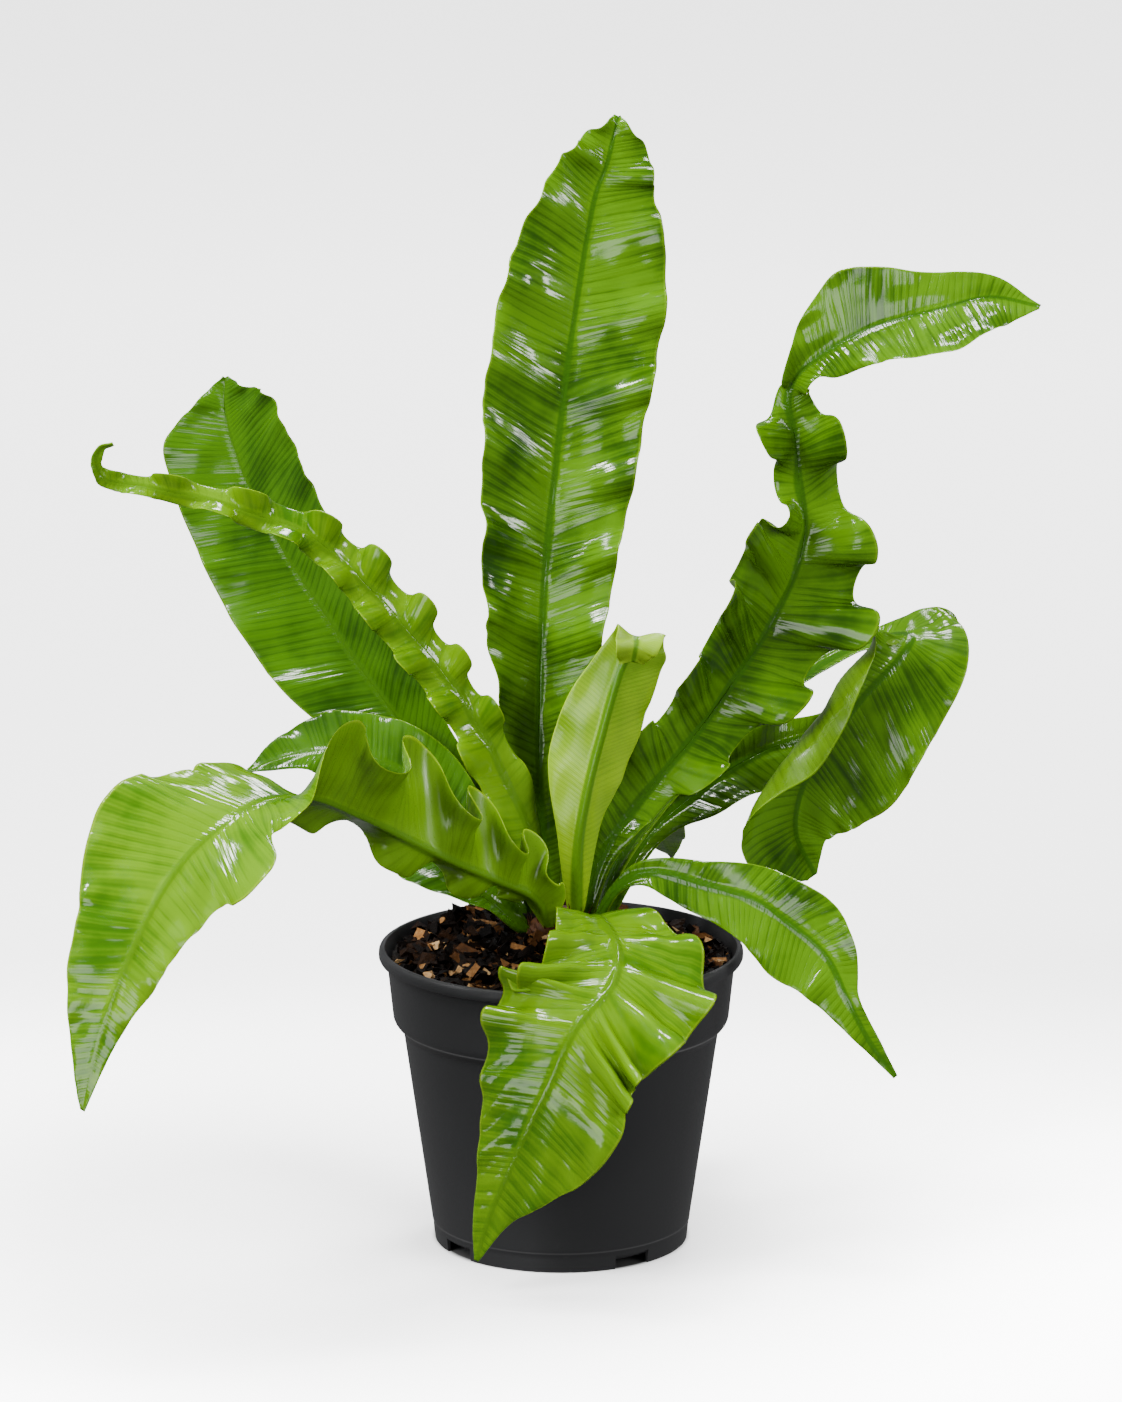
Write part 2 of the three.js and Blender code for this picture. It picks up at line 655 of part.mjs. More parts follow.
function makeSoil(sockets) {
  const floor = pot.floorHeight + pot.floorThickness + gap;
  const wall = (z) => potInside(z) - clear;
  const profile = [
    [0, floor],
    [wall(floor), floor],
    [wall(pot.shoulderHeight), pot.shoulderHeight],
    [wall(pot.collarFootHeight), pot.collarFootHeight],
  ];
  for (let i = 0; i <= soil.rings; i++)
    profile.push([wall(soil.wallLevel) * (1 - i / soil.rings), soil.wallLevel]);
  const body = turned(profile, soil.sides);
  const spots = body.getAttribute("position");
  for (let i = 0; i < spots.count; i++)
    if (spots.getZ(i) > soil.wallLevel - 0.01) spots.setZ(i, soilHeight(spots.getX(i), spots.getY(i)));
  let solid = toSolid(body);
  for (let i = 0; i < soil.chips; i++) {
    const length = draw(soil.chipLength);
    const chip = new THREE.BoxGeometry(length, draw(soil.chipWidth), draw(soil.chipThickness));
    chip.rotateX(draw(soil.chipTilt)).rotateY(draw(soil.chipTilt)).rotateZ(draw([0, Math.PI]));
    const turn = draw([0, fullTurn]);
    const r = (wall(soil.wallLevel) - length / 2 - 1) * Math.sqrt(draw(soil.chipSpread));
    const x = r * Math.cos(turn);
    const y = r * Math.sin(turn);
    chip.translate(x, y, soilHeight(x, y) + soil.chipRise);
    solid = solid.add(toSolid(chip));
  }
  return sockets.reduce((left, socket) => left.subtract(socket), solid);
}

// The crown's outline, widened by grow for the hole that it sits in.
function crownShape(grow) {
  const profile = crown.outline.map(([r, z]) => [r && r + grow, z]);
  profile[0][1] -= grow;
  profile[1][1] -= grow;
  profile.at(-1)[1] += grow;
  const body = turned(profile, crown.sides);
  const spots = body.getAttribute("position");
  for (let i = 0; i < spots.count; i++) {
    const angle = Math.atan2(spots.getY(i), spots.getX(i));
    const swell = 1 + crown.lobeDepth * Math.sin(crown.lobes * angle + crown.lobeTwist * spots.getZ(i));
    spots.setX(i, spots.getX(i) * swell);
    spots.setY(i, spots.getY(i) * swell);
  }
  return toSolid(body);
}

function makePlant() {
  const shapes = fronds.map((frond) => toSolid(frondGeometry(frond)));
  const sockets = fronds.map((frond) => {
    const rows = Math.ceil((socketDepth * frond.rows) / frameLength(frond));
    return toSolid(frondGeometry(frond, clear, rows));
  });
  const stem = sockets.reduce((left, socket) => left.subtract(socket), crownShape(0));
  const mix = makeSoil([crownShape(clear), ...sockets]);
  return { shapes, stem, mix };
}

function material(colour, roughness, metalness = 0) {
  return new THREE.MeshStandardMaterial({ color: colour, roughness, metalness });
}

function add(group, name, solid, look) {
  const mesh = new THREE.Mesh(fromSolid(solid), look);
  mesh.name = name;
  group.add(mesh);
}

// The biggest body of a solid: cutting can leave crumbs, which are dropped.
function largest(solid) {
  return solid.decompose().sort((a, b) => b.volume() - a.volume())[0];
}

const fern = new THREE.Group();
const { shapes, stem, mix } = makePlant();
add(fern, "pot", makePot(), material(0x2d2d2f, 0.55));
add(fern, "potting_mix", largest(mix), material(0x2a1a10, 0.95));
add(fern, "crown", largest(stem), material(0x33220f, 0.9));
fronds.forEach((frond, i) => add(fern, frond.name, shapes[i], material(frond.colour, 0.3)));

export default fern;
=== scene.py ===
import math

import bmesh
import bpy
import numpy as np
from mathutils import Euler, Matrix, Vector


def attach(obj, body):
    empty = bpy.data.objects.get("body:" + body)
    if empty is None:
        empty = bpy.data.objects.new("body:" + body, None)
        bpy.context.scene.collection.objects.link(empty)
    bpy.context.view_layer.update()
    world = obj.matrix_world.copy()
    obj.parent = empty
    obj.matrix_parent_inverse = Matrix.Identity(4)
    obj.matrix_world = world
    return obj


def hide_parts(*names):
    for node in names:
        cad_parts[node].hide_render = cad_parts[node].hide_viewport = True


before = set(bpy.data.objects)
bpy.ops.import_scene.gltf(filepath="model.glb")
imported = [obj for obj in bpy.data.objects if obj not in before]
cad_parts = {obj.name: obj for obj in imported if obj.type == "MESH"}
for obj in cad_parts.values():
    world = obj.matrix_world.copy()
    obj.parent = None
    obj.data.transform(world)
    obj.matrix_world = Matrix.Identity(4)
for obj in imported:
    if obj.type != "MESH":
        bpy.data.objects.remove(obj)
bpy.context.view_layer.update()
print("frame loaded")

mm = 0.001
fullTurn = 2 * math.pi
leastBend = 1e-6


# small tools
class Wire:
    # one value in a material: an expression on wires adds its Math nodes
    def __init__(self, finish, socket):
        self.finish = finish
        self.socket = socket

    def maths(self, operation, first, second=0.0):
        return self.finish.add("ShaderNodeMath", {"operation": operation}, {0: first, 1: second})

    def other(self, name):
        return Wire(self.finish, self.socket.node.outputs[name])

    def __add__(self, value):
        return self.maths("ADD", self, value)

    def __sub__(self, value):
        return self.maths("SUBTRACT", self, value)

    def __rsub__(self, value):
        return self.maths("SUBTRACT", value, self)

    def __mul__(self, value):
        return self.maths("MULTIPLY", self, value)

    def __abs__(self):
        return self.maths("ABSOLUTE", self)

    def sine(self):
        return self.maths("SINE", self)

    def fade(self, start, end):
        # 0 at start, 1 at end, with soft ends
        return self.finish.add(
            "ShaderNodeMapRange",
            {"interpolation_type": "SMOOTHSTEP"},
            {"Value": self, "From Min": start, "From Max": end},
        )

    __radd__ = __add__
    __rmul__ = __mul__


class Finish:
    def __init__(self, name):
        self.material = bpy.data.materials.new(name)
        self.material.use_nodes = True
        self.nodes = self.material.node_tree.nodes
        self.links = self.material.node_tree.links
        self.nodes.clear()

    def add(self, kind, settings=None, sockets=None, output=0):
        node = self.nodes.new(kind)
        for key, value in (settings or {}).items():
            if key == "stops":
                elements = node.color_ramp.elements
                while len(elements) < len(value):
                    elements.new(0.5)
                for element, (place, colour) in zip(elements, value):
                    element.position = place
                    element.color = (*colour, 1)
            else:
                setattr(node, key, value)
        for key, value in (sockets or {}).items():
            if isinstance(value, Wire):
                self.links.new(value.socket, node.inputs[key])
            else:
                node.inputs[key].default_value = value
        return Wire(self, node.outputs[output]) if len(node.outputs) else None

    def blendColour(self, share, first, second):
        first = (*first, 1) if isinstance(first, tuple) else first
        second = (*second, 1) if isinstance(second, tuple) else second
        # sockets 6 and 7 of a mix node are its two colours, output 2 is the blend
        return self.add("ShaderNodeMix", {"data_type": "RGBA"}, {0: share, 6: first, 7: second}, output=2)

    def noise(self, scale, detail, roughness=0.5):
        sockets = {"Vector": self.objectPlace(), "Scale": scale, "Detail": detail, "Roughness": roughness}
        return self.add("ShaderNodeTexNoise", {}, sockets)

    def objectPlace(self):
        return self.add("ShaderNodeTexCoord", output="Object")

    def bump(self, height, strength, distance):
        sockets = {"Height": height, "Strength": strength, "Distance": distance}
        return self.add("ShaderNodeBump", {}, sockets)

    def close(self, surface):
        self.add("ShaderNodeOutputMaterial", {}, {"Surface": surface})
        return self.material

    def plain(self, colour, rough, normal, level):
        # closes the finish with one opaque surface
        sockets = {"Base Color": colour, "Roughness": rough, "Normal": normal, "Specular IOR Level": level}
        return self.close(self.add("ShaderNodeBsdfPrincipled", {}, sockets))


def addPiece(name, mesh, finishes, slotName, *nodes):
    piece = bpy.data.objects.new(name, mesh)
    bpy.context.collection.objects.link(piece)
    for finish in finishes:
        mesh.materials.append(finish)
    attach(piece, "root")
    if nodes:
        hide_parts(*nodes)
    return piece


def toMesh(bm, name, sharpAngle=None):
    mesh = bpy.data.meshes.new(name)
    bm.to_mesh(mesh)
    bm.free()
    if sharpAngle is not None:
        mesh.shade_smooth()
        mesh.set_sharp_from_angle(angle=math.radians(sharpAngle))
    return mesh


def spinLine(bm, line, segments):
    # turns a line of (radius, height) in millimetres once round the upright axis
    verts = [bm.verts.new((r * mm, 0, z * mm)) for r, z in line]
    edges = [bm.edges.new(pair) for pair in zip(verts, verts[1:])]
    bmesh.ops.spin(bm, geom=verts + edges, cent=(0, 0, 0), axis=(0, 0, 1), dvec=(0, 0, 0),
                   angle=fullTurn, steps=segments, use_merge=True, use_duplicate=False)
    bmesh.ops.remove_doubles(bm, verts=bm.verts, dist=1e-6)
    bmesh.ops.recalc_face_normals(bm, faces=bm.faces)


# fronds: lists are spread evenly from root to tip, in millimetres and degrees
fronds = [
    dict(
        name="frondTallCentre", node="frond_tall_centre", finish="mid", slot="leaf_green",
        heading=90, pleat=0.3, crisp=0.5, lean=0.3, lobeLeft=0.03, lobeRight=0.03,
        rib=[
            (-5, 10, 132), (-7, 11, 158), (-9, 14, 187), (-9, 18, 219), (-8, 22, 252), (-6, 27, 284),
            (-2, 32, 321), (2, 37, 355), (7, 42, 389), (13, 46, 424), (19, 47, 442), (23, 48, 460),
        ],
        left=[2.4, 9, 17, 23, 29, 32, 36, 35, 31, 21, 14, 1],
        right=[2.4, 9, 14, 24, 29, 32, 35, 37, 35, 24, 16, 1],
        roll=[0, 0],
        foldLeft=[50, 30, 18, 12],
        foldRight=[50, 30, 18, 12],
        curlLeft=[0, 0],
        curlRight=[0, 0],
        waveLeft=[0, 2, 3, 3, 2.5],
        waveRight=[0, 2, 3, 3, 2.5],
        crestsLeft=[0.12, 0.2, 0.28, 0.36, 0.44, 0.52, 0.61, 0.7, 0.79, 0.88],
        crestsRight=[0.1, 0.18, 0.26, 0.34, 0.43, 0.51, 0.6, 0.68, 0.77, 0.87],
    ),
    dict(
        name="frondYoung", node="frond_young", finish="young", slot="leaf_young",
        heading=-80, pleat=0.1, crisp=0.15, lean=0, lobeLeft=0, lobeRight=0,
        rib=[
            (6, -3, 132), (7, -10, 167), (11, -13, 193), (17, -14, 218), (23, -15, 240), (28, -16, 253),
            (30, -20, 258), (30, -24, 255), (29, -22, 249),
        ],
        left=[2.4, 9, 19, 18, 12, 9, 9, 8, 5],
        right=[2.4, 9, 17, 20, 20, 14, 11, 8, 5],
        roll=[180, 180],
        foldLeft=[-30, -25, -15, 0],
        foldRight=[-30, -25, -15, 0],
        curlLeft=[0, 0],
        curlRight=[0, 0],
        waveLeft=[0, 0.4, 0.6, 0.5],
        waveRight=[0, 0.4, 0.6, 0.5],
        crestsLeft=[0.2, 0.35, 0.5, 0.65, 0.8],
        crestsRight=[0.25, 0.4, 0.55, 0.7],
    ),
    dict(
        name="frondTwistedRight", node="frond_twisted_right", finish="mid", slot="leaf_green",
        heading=30, pleat=0.22, crisp=0.15, lean=0.8, lobeLeft=0.22, lobeRight=0.22,
        rib=[
            (10, 1, 132), (17, 4, 160), (32, 8, 183), (53, 12, 208), (71, 16, 233), (85, 18, 255),
            (95, 20, 276), (99, 20, 294), (97, 19, 313), (95, 17, 332), (92, 14, 349), (97, 12, 361),
            (110, 6, 372), (128, 0, 382), (150, -6, 389), (171, -10, 395), (191, -14, 392),
        ],
        left=[2.4, 10, 18, 22, 30, 41, 38, 20, 8, 19, 4, 9, 26, 21, 15, 8, 1],
        right=[2.4, 6, 11, 20, 27, 33, 30, 20, 19, 18, 9, 8, 16, 20, 23, 15, 1],
        roll=[-20, -60, -82, -84, -84, -60, -25, -14, -10],
        foldLeft=[50, 30, 30, 30, 30, 25, 20, 20, 10],
        foldRight=[50, 30, 30, 30, 30, 25, 20, 20, 10],
        curlLeft=[0, 0],
        curlRight=[0, 0],
        waveLeft=[0, 3, 5, 7, 8, 4, 1.2, 0.5, 0.3],
        waveRight=[0, 3, 5, 7, 8, 4, 1.2, 0.5, 0.3],
        crestsLeft=[0.08, 0.15, 0.21, 0.28, 0.36, 0.44, 0.56, 0.67, 0.8],
        crestsRight=[0.09, 0.16, 0.235, 0.32, 0.405, 0.54, 0.67, 0.84],
    ),
    dict(
        name="frondArchedRight", node="frond_arched_right", finish="mid", slot="leaf_green",
        heading=42, pleat=0.16, crisp=0.3, lean=0.3, lobeLeft=0.03, lobeRight=0.03,
        rib=[
            (16, 7, 132), (24, 17, 153), (48, 32, 182), (80, 46, 211), (107, 56, 228), (129, 61, 238),
            (142, 57, 242), (145, 50, 241), (139, 42, 234), (125, 34, 221), (111, 29, 203), (100, 26, 185),
            (97, 24, 166), (105, 24, 148),
        ],
        left=[2.4, 5, 6, 6, 5, 6, 18, 25, 32, 38, 34, 25, 13, 1],
        right=[2.4, 5, 6, 6, 5, 6, 12, 20, 30, 35, 36, 33, 24, 4],
        roll=[0, 0, 0, 0, 15, 53, 63, 66, 66, 65],
        foldLeft=[50, 30, 15, 10, 5, 0, 0, 0],
        foldRight=[50, 30, 15, 10, 5, 0, 0, 0],
        curlLeft=[0, 0],
        curlRight=[0, 0, 0, 0, 0, 0, 0, 30, 120, 172, 175, 110, 40, 0],
        waveLeft=[0, 0, 0, 1, 1, 0.8, 0.5],
        waveRight=[0, 0, 0, 1, 1, 0.8, 0.5],
        crestsLeft=[0.15, 0.25, 0.35, 0.45, 0.55, 0.65, 0.75, 0.85],
        crestsRight=[0.12, 0.22, 0.32, 0.42, 0.52, 0.62, 0.72, 0.82],
    ),
    dict(
        name="frondStraightRight", node="frond_straight_right", finish="mid", slot="leaf_green",
        heading=38, pleat=0.2, crisp=0.4, lean=0.3, lobeLeft=0.05, lobeRight=0.05,
        rib=[
            (15, 13, 125), (33, 33, 157), (58, 50, 177), (84, 64, 190), (111, 78, 196), (131, 88, 208),
            (147, 95, 220), (158, 99, 226), (168, 101, 226),
        ],
        left=[2.4, 8, 14, 11, 8, 9, 14, 17, 4],
        right=[2.4, 8, 16, 14, 9, 8, 11, 11, 3],
        roll=[-20, -55, -60, -60],
        foldLeft=[50, 20, 10, 5],
        foldRight=[50, 20, 10, 5],
        curlLeft=[0, 0],
        curlRight=[0, 0],
        waveLeft=[0, 1.5, 1.5, 1, 0.5],
        waveRight=[0, 1.5, 1.5, 1, 0.5],
        crestsLeft=[0.12, 0.24, 0.36, 0.48, 0.6, 0.75],
        crestsRight=[0.15, 0.27, 0.38, 0.5, 0.62, 0.78],
    ),
    dict(
        name="frondLowRight", node="frond_low_right", finish="mid", slot="leaf_green",
        heading=-15, pleat=0.14, crisp=0.3, lean=0.3, lobeLeft=0.04, lobeRight=0.04,
        rib=[
            (13, -5, 132), (23, -8, 150), (36, -12, 158), (57, -20, 155), (77, -28, 151), (93, -35, 142),
            (107, -42, 131), (115, -48, 116), (124, -52, 99), (135, -54, 84),
        ],
        left=[2.4, 3, 6, 11, 15, 18, 12, 5, 4, 1],
        right=[2.4, 3, 8, 13, 19, 21, 17, 10, 4, 1],
        roll=[-60, -70, -68, -65, -62],
        foldLeft=[40, 10, 5, 5],
        foldRight=[40, 10, 5, 5],
        curlLeft=[0, 0],
        curlRight=[0, 0],
        waveLeft=[0, 0.5, 1, 1, 0.5],
        waveRight=[0, 0.5, 1, 1, 0.5],
        crestsLeft=[0.2, 0.35, 0.5, 0.64, 0.8],
        crestsRight=[0.25, 0.4, 0.55, 0.7, 0.85],
    ),
    dict(
        name="frondFront", node="frond_front", finish="bright", slot="leaf_bright",
        heading=-80, pleat=0.28, crisp=0.15, lean=0.3, lobeLeft=0.05, lobeRight=0.05,
        rib=[
            (8, -9, 132), (14, -24, 142), (20, -42, 141), (23, -60, 136), (20, -76, 128), (10, -86, 119),
            (2, -91, 108), (-4, -93, 94), (-12, -93, 77), (-20, -91, 57), (-28, -88, 37), (-34, -84, 16),
        ],
        left=[2.4, 18, 29, 38, 36, 35, 35, 34, 31, 19, 8, 1],
        right=[2.4, 20, 28, 36, 38, 36, 32, 27, 20, 13, 7, 1],
        roll=[0, 0, 0, 5, 10, 10],
        foldLeft=[30, 0, -5, -5, 0],
        foldRight=[30, 0, -5, -5, 0],
        curlLeft=[0, 0],
        curlRight=[0, 0],
        waveLeft=[0, 4, 7, 2, 0.5, 0.3],
        waveRight=[0, 5, 5, 1.5, 0.5, 0.3],
        crestsLeft=[0.1, 0.2, 0.3, 0.37, 0.43, 0.49, 0.65],
        crestsRight=[0.1, 0.2, 0.3, 0.4, 0.5, 0.65],
    ),
    dict(
        name="frondBigLeft", node="frond_big_left", finish="bright", slot="leaf_bright",
        heading=-140, pleat=0.22, crisp=0.6, lean=0.9, lobeLeft=0.3, lobeRight=0.08,
        rib=[
            (-4, -8, 132), (-10, -17, 148), (-23, -30, 158), (-41, -46, 170), (-60, -62, 184),
            (-80, -80, 199), (-97, -96, 210), (-114, -112, 213), (-129, -126, 209), (-146, -138, 196),
            (-159, -148, 177), (-170, -156, 153), (-179, -160, 128), (-185, -162, 103),
        ],
        left=[2.4, 14, 22, 27, 31, 32, 30, 27, 28, 26, 17, 12, 6, 1],
        right=[2.4, 8, 10, 12, 13, 14, 22, 33, 38, 37, 26, 20, 10, 1],
        roll=[0, -50, -63, -55, -5, 30, 38, 40, 40],
        foldLeft=[50, 30, 25, 20, 10, 0, 0, 0],
        foldRight=[50, 30, 25, 20, 10, 0, 0, 0],
        curlLeft=[0, 0],
        curlRight=[0, 0],
        waveLeft=[0.5, 8, 11, 10, 4, 1, 0.5, 0.5],
        waveRight=[0.5, 7, 9, 8, 2.5, 0.8, 0.4, 0.4],
        crestsLeft=[0, 0.055, 0.11, 0.19, 0.285, 0.46, 0.62, 0.8],
        crestsRight=[0.06, 0.14, 0.23, 0.35, 0.5, 0.64, 0.8],
    ),
    dict(
        name="frondBroadLeft", node="frond_broad_left", finish="deep", slot="leaf_dark",
        heading=140, pleat=0.26, crisp=0.4, lean=0.2, lobeLeft=0.02, lobeRight=0.02,
        rib=[
            (-9, 10, 131), (-26, 23, 159), (-48, 41, 184), (-66, 56, 204), (-83, 69, 224), (-100, 81, 247),
            (-115, 91, 268), (-128, 98, 290), (-137, 104, 311), (-141, 108, 327), (-141, 110, 341),
        ],
        left=[2.4, 8, 18, 26, 33, 34, 32, 30, 28, 12, 1],
        right=[2.4, 8, 18, 26, 31, 32, 33, 33, 30, 20, 1],
        roll=[40, 65, 72, 75],
        foldLeft=[50, 30, 20, 20],
        foldRight=[50, 30, 20, 20],
        curlLeft=[0, 0],
        curlRight=[0, 0],
        waveLeft=[0, 1, 1, 1, 1],
        waveRight=[0, 1, 1, 1, 1],
        crestsLeft=[0.1, 0.2, 0.3, 0.4, 0.5, 0.6, 0.7, 0.8, 0.9],
        crestsRight=[0.15, 0.25, 0.35, 0.45, 0.55, 0.65, 0.75, 0.85],
    ),
    dict(
        name="frondCrispedLeft", node="frond_crisped_left", finish="bright", slot="leaf_bright",
        heading=170, pleat=0.2, crisp=0.5, lean=0.6, lobeLeft=0.3, lobeRight=0.3,
        rib=[
            (-6, 0, 132), (-13, -2, 169), (-24, -4, 197), (-35, -6, 220), (-46, -8, 238), (-59, -10, 255),
            (-73, -12, 272), (-87, -14, 287), (-101, -16, 299), (-119, -18, 307), (-137, -20, 313),
            (-155, -22, 318), (-170, -24, 321), (-182, -26, 324), (-186, -28, 330), (-184, -28, 337),
            (-179, -28, 339),
        ],
        left=[2.4, 12, 18, 14, 13, 13, 12, 9, 7, 6, 5, 4, 4, 3, 3, 2, 1],
        right=[2.4, 7, 10, 9, 10, 12, 12, 11, 9, 8, 7, 6, 5, 4, 3, 2, 1],
        roll=[30, 55, 60, 60, 60, 60, 60, 60],
        foldLeft=[50, 30, 20, 20, 20, 20, 20, 20, 20],
        foldRight=[50, 30, 20, 20, 20, 20, 20, 20, 20],
        curlLeft=[0, 0],
        curlRight=[0, 0],
        waveLeft=[0, 2, 4, 5, 5, 5, 4, 2, 0.5, 0],
        waveRight=[0, 2, 4, 5, 5, 5, 4, 2, 0.5, 0],
        crestsLeft=[0.08, 0.15, 0.22, 0.29, 0.36, 0.43, 0.52, 0.62, 0.74],
        crestsRight=[0.1, 0.18, 0.25, 0.32, 0.4, 0.48, 0.58, 0.69, 0.8],
    ),
    dict(
        name="frondSideLeft", node="frond_side_left", finish="deep", slot="leaf_dark",
        heading=165, pleat=0.2, crisp=0.3, lean=0.2, lobeLeft=0.03, lobeRight=0.03,
        rib=[
            (-14, 3, 131), (-26, 12, 151), (-40, 18, 169), (-56, 25, 185), (-74, 32, 194), (-93, 38, 197),
            (-111, 42, 194), (-130, 44, 187),
        ],
        left=[2.4, 8, 13, 16, 14, 11, 6, 1],
        right=[2.4, 8, 14, 18, 18, 16, 10, 1],
        roll=[30, 50, 52, 50],
        foldLeft=[40, 20, 10, 10],
        foldRight=[40, 20, 10, 10],
        curlLeft=[0, 0],
        curlRight=[0, 0],
        waveLeft=[0, 1, 1, 0.5],
        waveRight=[0, 1, 1, 0.5],
        crestsLeft=[0.2, 0.4, 0.6, 0.8],
        crestsRight=[0.3, 0.5, 0.7],
    ),
    dict(
        name="frondLowLeft", node="frond_low_left", finish="deep", slot="leaf_dark",
        heading=180, pleat=0.2, crisp=0.3, lean=0.2, lobeLeft=0.03, lobeRight=0.03,
        rib=[
            (-12, -6, 130), (-27, -10, 145), (-44, -9, 158), (-62, -5, 169), (-79, -1, 181), (-96, 2, 193),
        ],
        left=[2.4, 12, 19, 15, 6, 1],
        right=[2.4, 8, 12, 12, 9, 1],
        roll=[40, 58, 60],
        foldLeft=[40, 20, 10],
        foldRight=[40, 20, 10],
        curlLeft=[0, 0],
        curlRight=[0, 0],
        waveLeft=[0, 0.5, 0.5],
        waveRight=[0, 0.5, 0.5],
        crestsLeft=[0.2, 0.4, 0.6, 0.8],
        crestsRight=[0.3, 0.5, 0.7],
    ),
    dict(
        name="frondBack", node="frond_back", finish="deep", slot="leaf_dark",
        heading=95, pleat=0.2, crisp=0.3, lean=0.4, lobeLeft=0.04, lobeRight=0.04,
        rib=[
            (-1, 17, 131), (-3, 28, 158), (-6, 44, 188), (-9, 64, 214), (-11, 88, 232), (-13, 114, 240),
            (-14, 138, 236),
        ],
        left=[2.4, 6, 11, 17, 20, 15, 1],
        right=[2.4, 6, 11, 17, 20, 15, 1],
        roll=[0, 0],
        foldLeft=[50, 30, 15, 5],
        foldRight=[50, 30, 15, 5],
        curlLeft=[0, 0],
        curlRight=[0, 0],
        waveLeft=[0, 1.5, 2, 1],
        waveRight=[0, 1.5, 2, 1],
        crestsLeft=[0.2, 0.35, 0.5, 0.65, 0.8],
        crestsRight=[0.27, 0.42, 0.57, 0.72],
    ),
    dict(
        # painted light: this frond sits in shade but takes the bright look, so that its small visible patch
        # reads lighter
        name="frondBackRight", node="frond_back_right", finish="bright", slot="leaf_dark",
        heading=60, pleat=0.2, crisp=0.3, lean=0.3, lobeLeft=0.04, lobeRight=0.04,
        rib=[(7, 15, 131), (14, 30, 146), (22, 48, 156), (31, 68, 158), (40, 88, 150), (47, 106, 134)],
        left=[2.4, 6, 12, 15, 12, 1],
        right=[2.4, 6, 12, 15, 12, 1],
        roll=[0, 0],
        foldLeft=[40, 20, 5],
        foldRight=[40, 20, 5],
        curlLeft=[0, 0],
        curlRight=[0, 0],
        waveLeft=[0, 1, 1],
        waveRight=[0, 1, 1],
        crestsLeft=[0.2, 0.4, 0.6, 0.8],
        crestsRight=[0.3, 0.5, 0.7],
    ),
]

# lengths in millimetres, the angle of the sweep in degrees, the rest in shares
blade = dict(
    thickness=0.8,
    stalkHeight=2.0,
    stalkShare=0.1,
    sweep=22,
    leastHalfWidth=0.8,
    startTilt=0.5,
    # waves of the margin, and how strong a wave must be for its full lobe and lean
    waveGrowth=1.1,
    fullLobeWave=3,
    lowestLobe=0.2,
    fullLeanWave=3,
    foldSkew=0.3,
    skewStart=1.6,
    skewFade=4,
    # the rib below the blade and the groove beside it
    ribHeight=0.75,
    ribGroove=0.3,
    ribWidth=1.5,
    ribBand=3.0,
    keelShare=1.3,
    ribFade=0.65,
    taperShare=0.8,
    grooveAway=2.6,
    grooveWidth=1.1,
    # quilting between the side veins
    veinSpacing=dict(mid=3.3, bright=4.4, deep=3.3, young=1.5),
    veinWander=0.5,
    veinWanderSize=(20, 130),
    fullReliefWidth=12,
    pillowPower=0.6,
    pillowDrop=0.7,
    pillowStart=4,
    pillowFade=0.6,
    varyMiddle=0.8,
    varyBy=0.6,
    varyLimits=(0.1, 2),
    varySize=(30, 20),
    # slow swell, and the crinkle near the margin
    swell=0.7,
    swellSize=(22, 16),
    crinkleSpacing=15,
    crinkleWander=2.5,
    crinkleWanderSize=35,
    crinklePower=5,
    # grid
    rowStep=0.65,
    fewestRows=60,
    ribSamples=400,
    tangentStep=0.002,
    reachStops=[0, 0.02, 0.045, 0.075, 0.12, 0.18, 0.25, 0.33, 0.41, 0.5, 0.59, 0.68, 0.77, 0.86,
                0.93, 0.98, 1],
)


def along(values, share):
    # smooth value along an evenly spread list
    points = np.asarray(values, float)
    spans = len(points) - 1
    place = np.asarray(share, float) * spans
    index = np.minimum(np.floor(place).astype(int), spans - 1)
    t = place - index
    points = np.concatenate([[2 * points[0] - points[1]], points, [2 * points[-1] - points[-2]]])
    a, b, c, d = (points[index + k] for k in range(4))
    if points.ndim > 1:
        t = t[..., None]
    return b + 0.5 * t * (c - a + t * (2 * a - 5 * b + 4 * c - d + t * (3 * (b - c) + d - a)))


def ruffleTurns(crests, share):
    # phase of a ruffle in turns, whole at the crests
    stops = np.asarray(crests, float)
    before = stops[0] - (stops[1] - stops[0]) * np.arange(3, 0, -1)
    after = stops[-1] + (stops[-1] - stops[-2]) * np.arange(1, 5)
    return np.interp(share, np.concatenate([before, stops, after]), np.arange(-3, len(stops) + 4))


def ripples(a, b, seed, count=7):
    # soft unevenness of about plus or minus 1
    draw = np.random.default_rng(seed)
    total = 0
    for turn, size, phase in zip(draw.uniform(0, fullTurn, count), draw.uniform(0.6, 1.6, count),
                                 draw.uniform(0, fullTurn, count)):
        total = total + np.sin(fullTurn * size * (a * math.cos(turn) + b * math.sin(turn)) + phase)
    return total / math.sqrt(count)


def carriedFrames(frond, share):
    # tangent, side and upper normal, carried up the rib without twisting
    step = blade["tangentStep"]
    ahead = along(frond["rib"], np.minimum(share + step, 1))
    tangents = ahead - along(frond["rib"], np.maximum(share - step, 0))
    tangents /= np.linalg.norm(tangents, axis=1)[:, None]
    heading = math.radians(frond["heading"])
    upper = np.array([-math.cos(heading), -math.sin(heading), 1 / blade["startTilt"]])
    uppers = []
    for tangent in tangents:
        upper = upper - tangent * upper.dot(tangent)
        upper = upper / np.linalg.norm(upper)
        uppers.append(upper)
    uppers = np.array(uppers)
    return tangents, np.cross(tangents, uppers), uppers


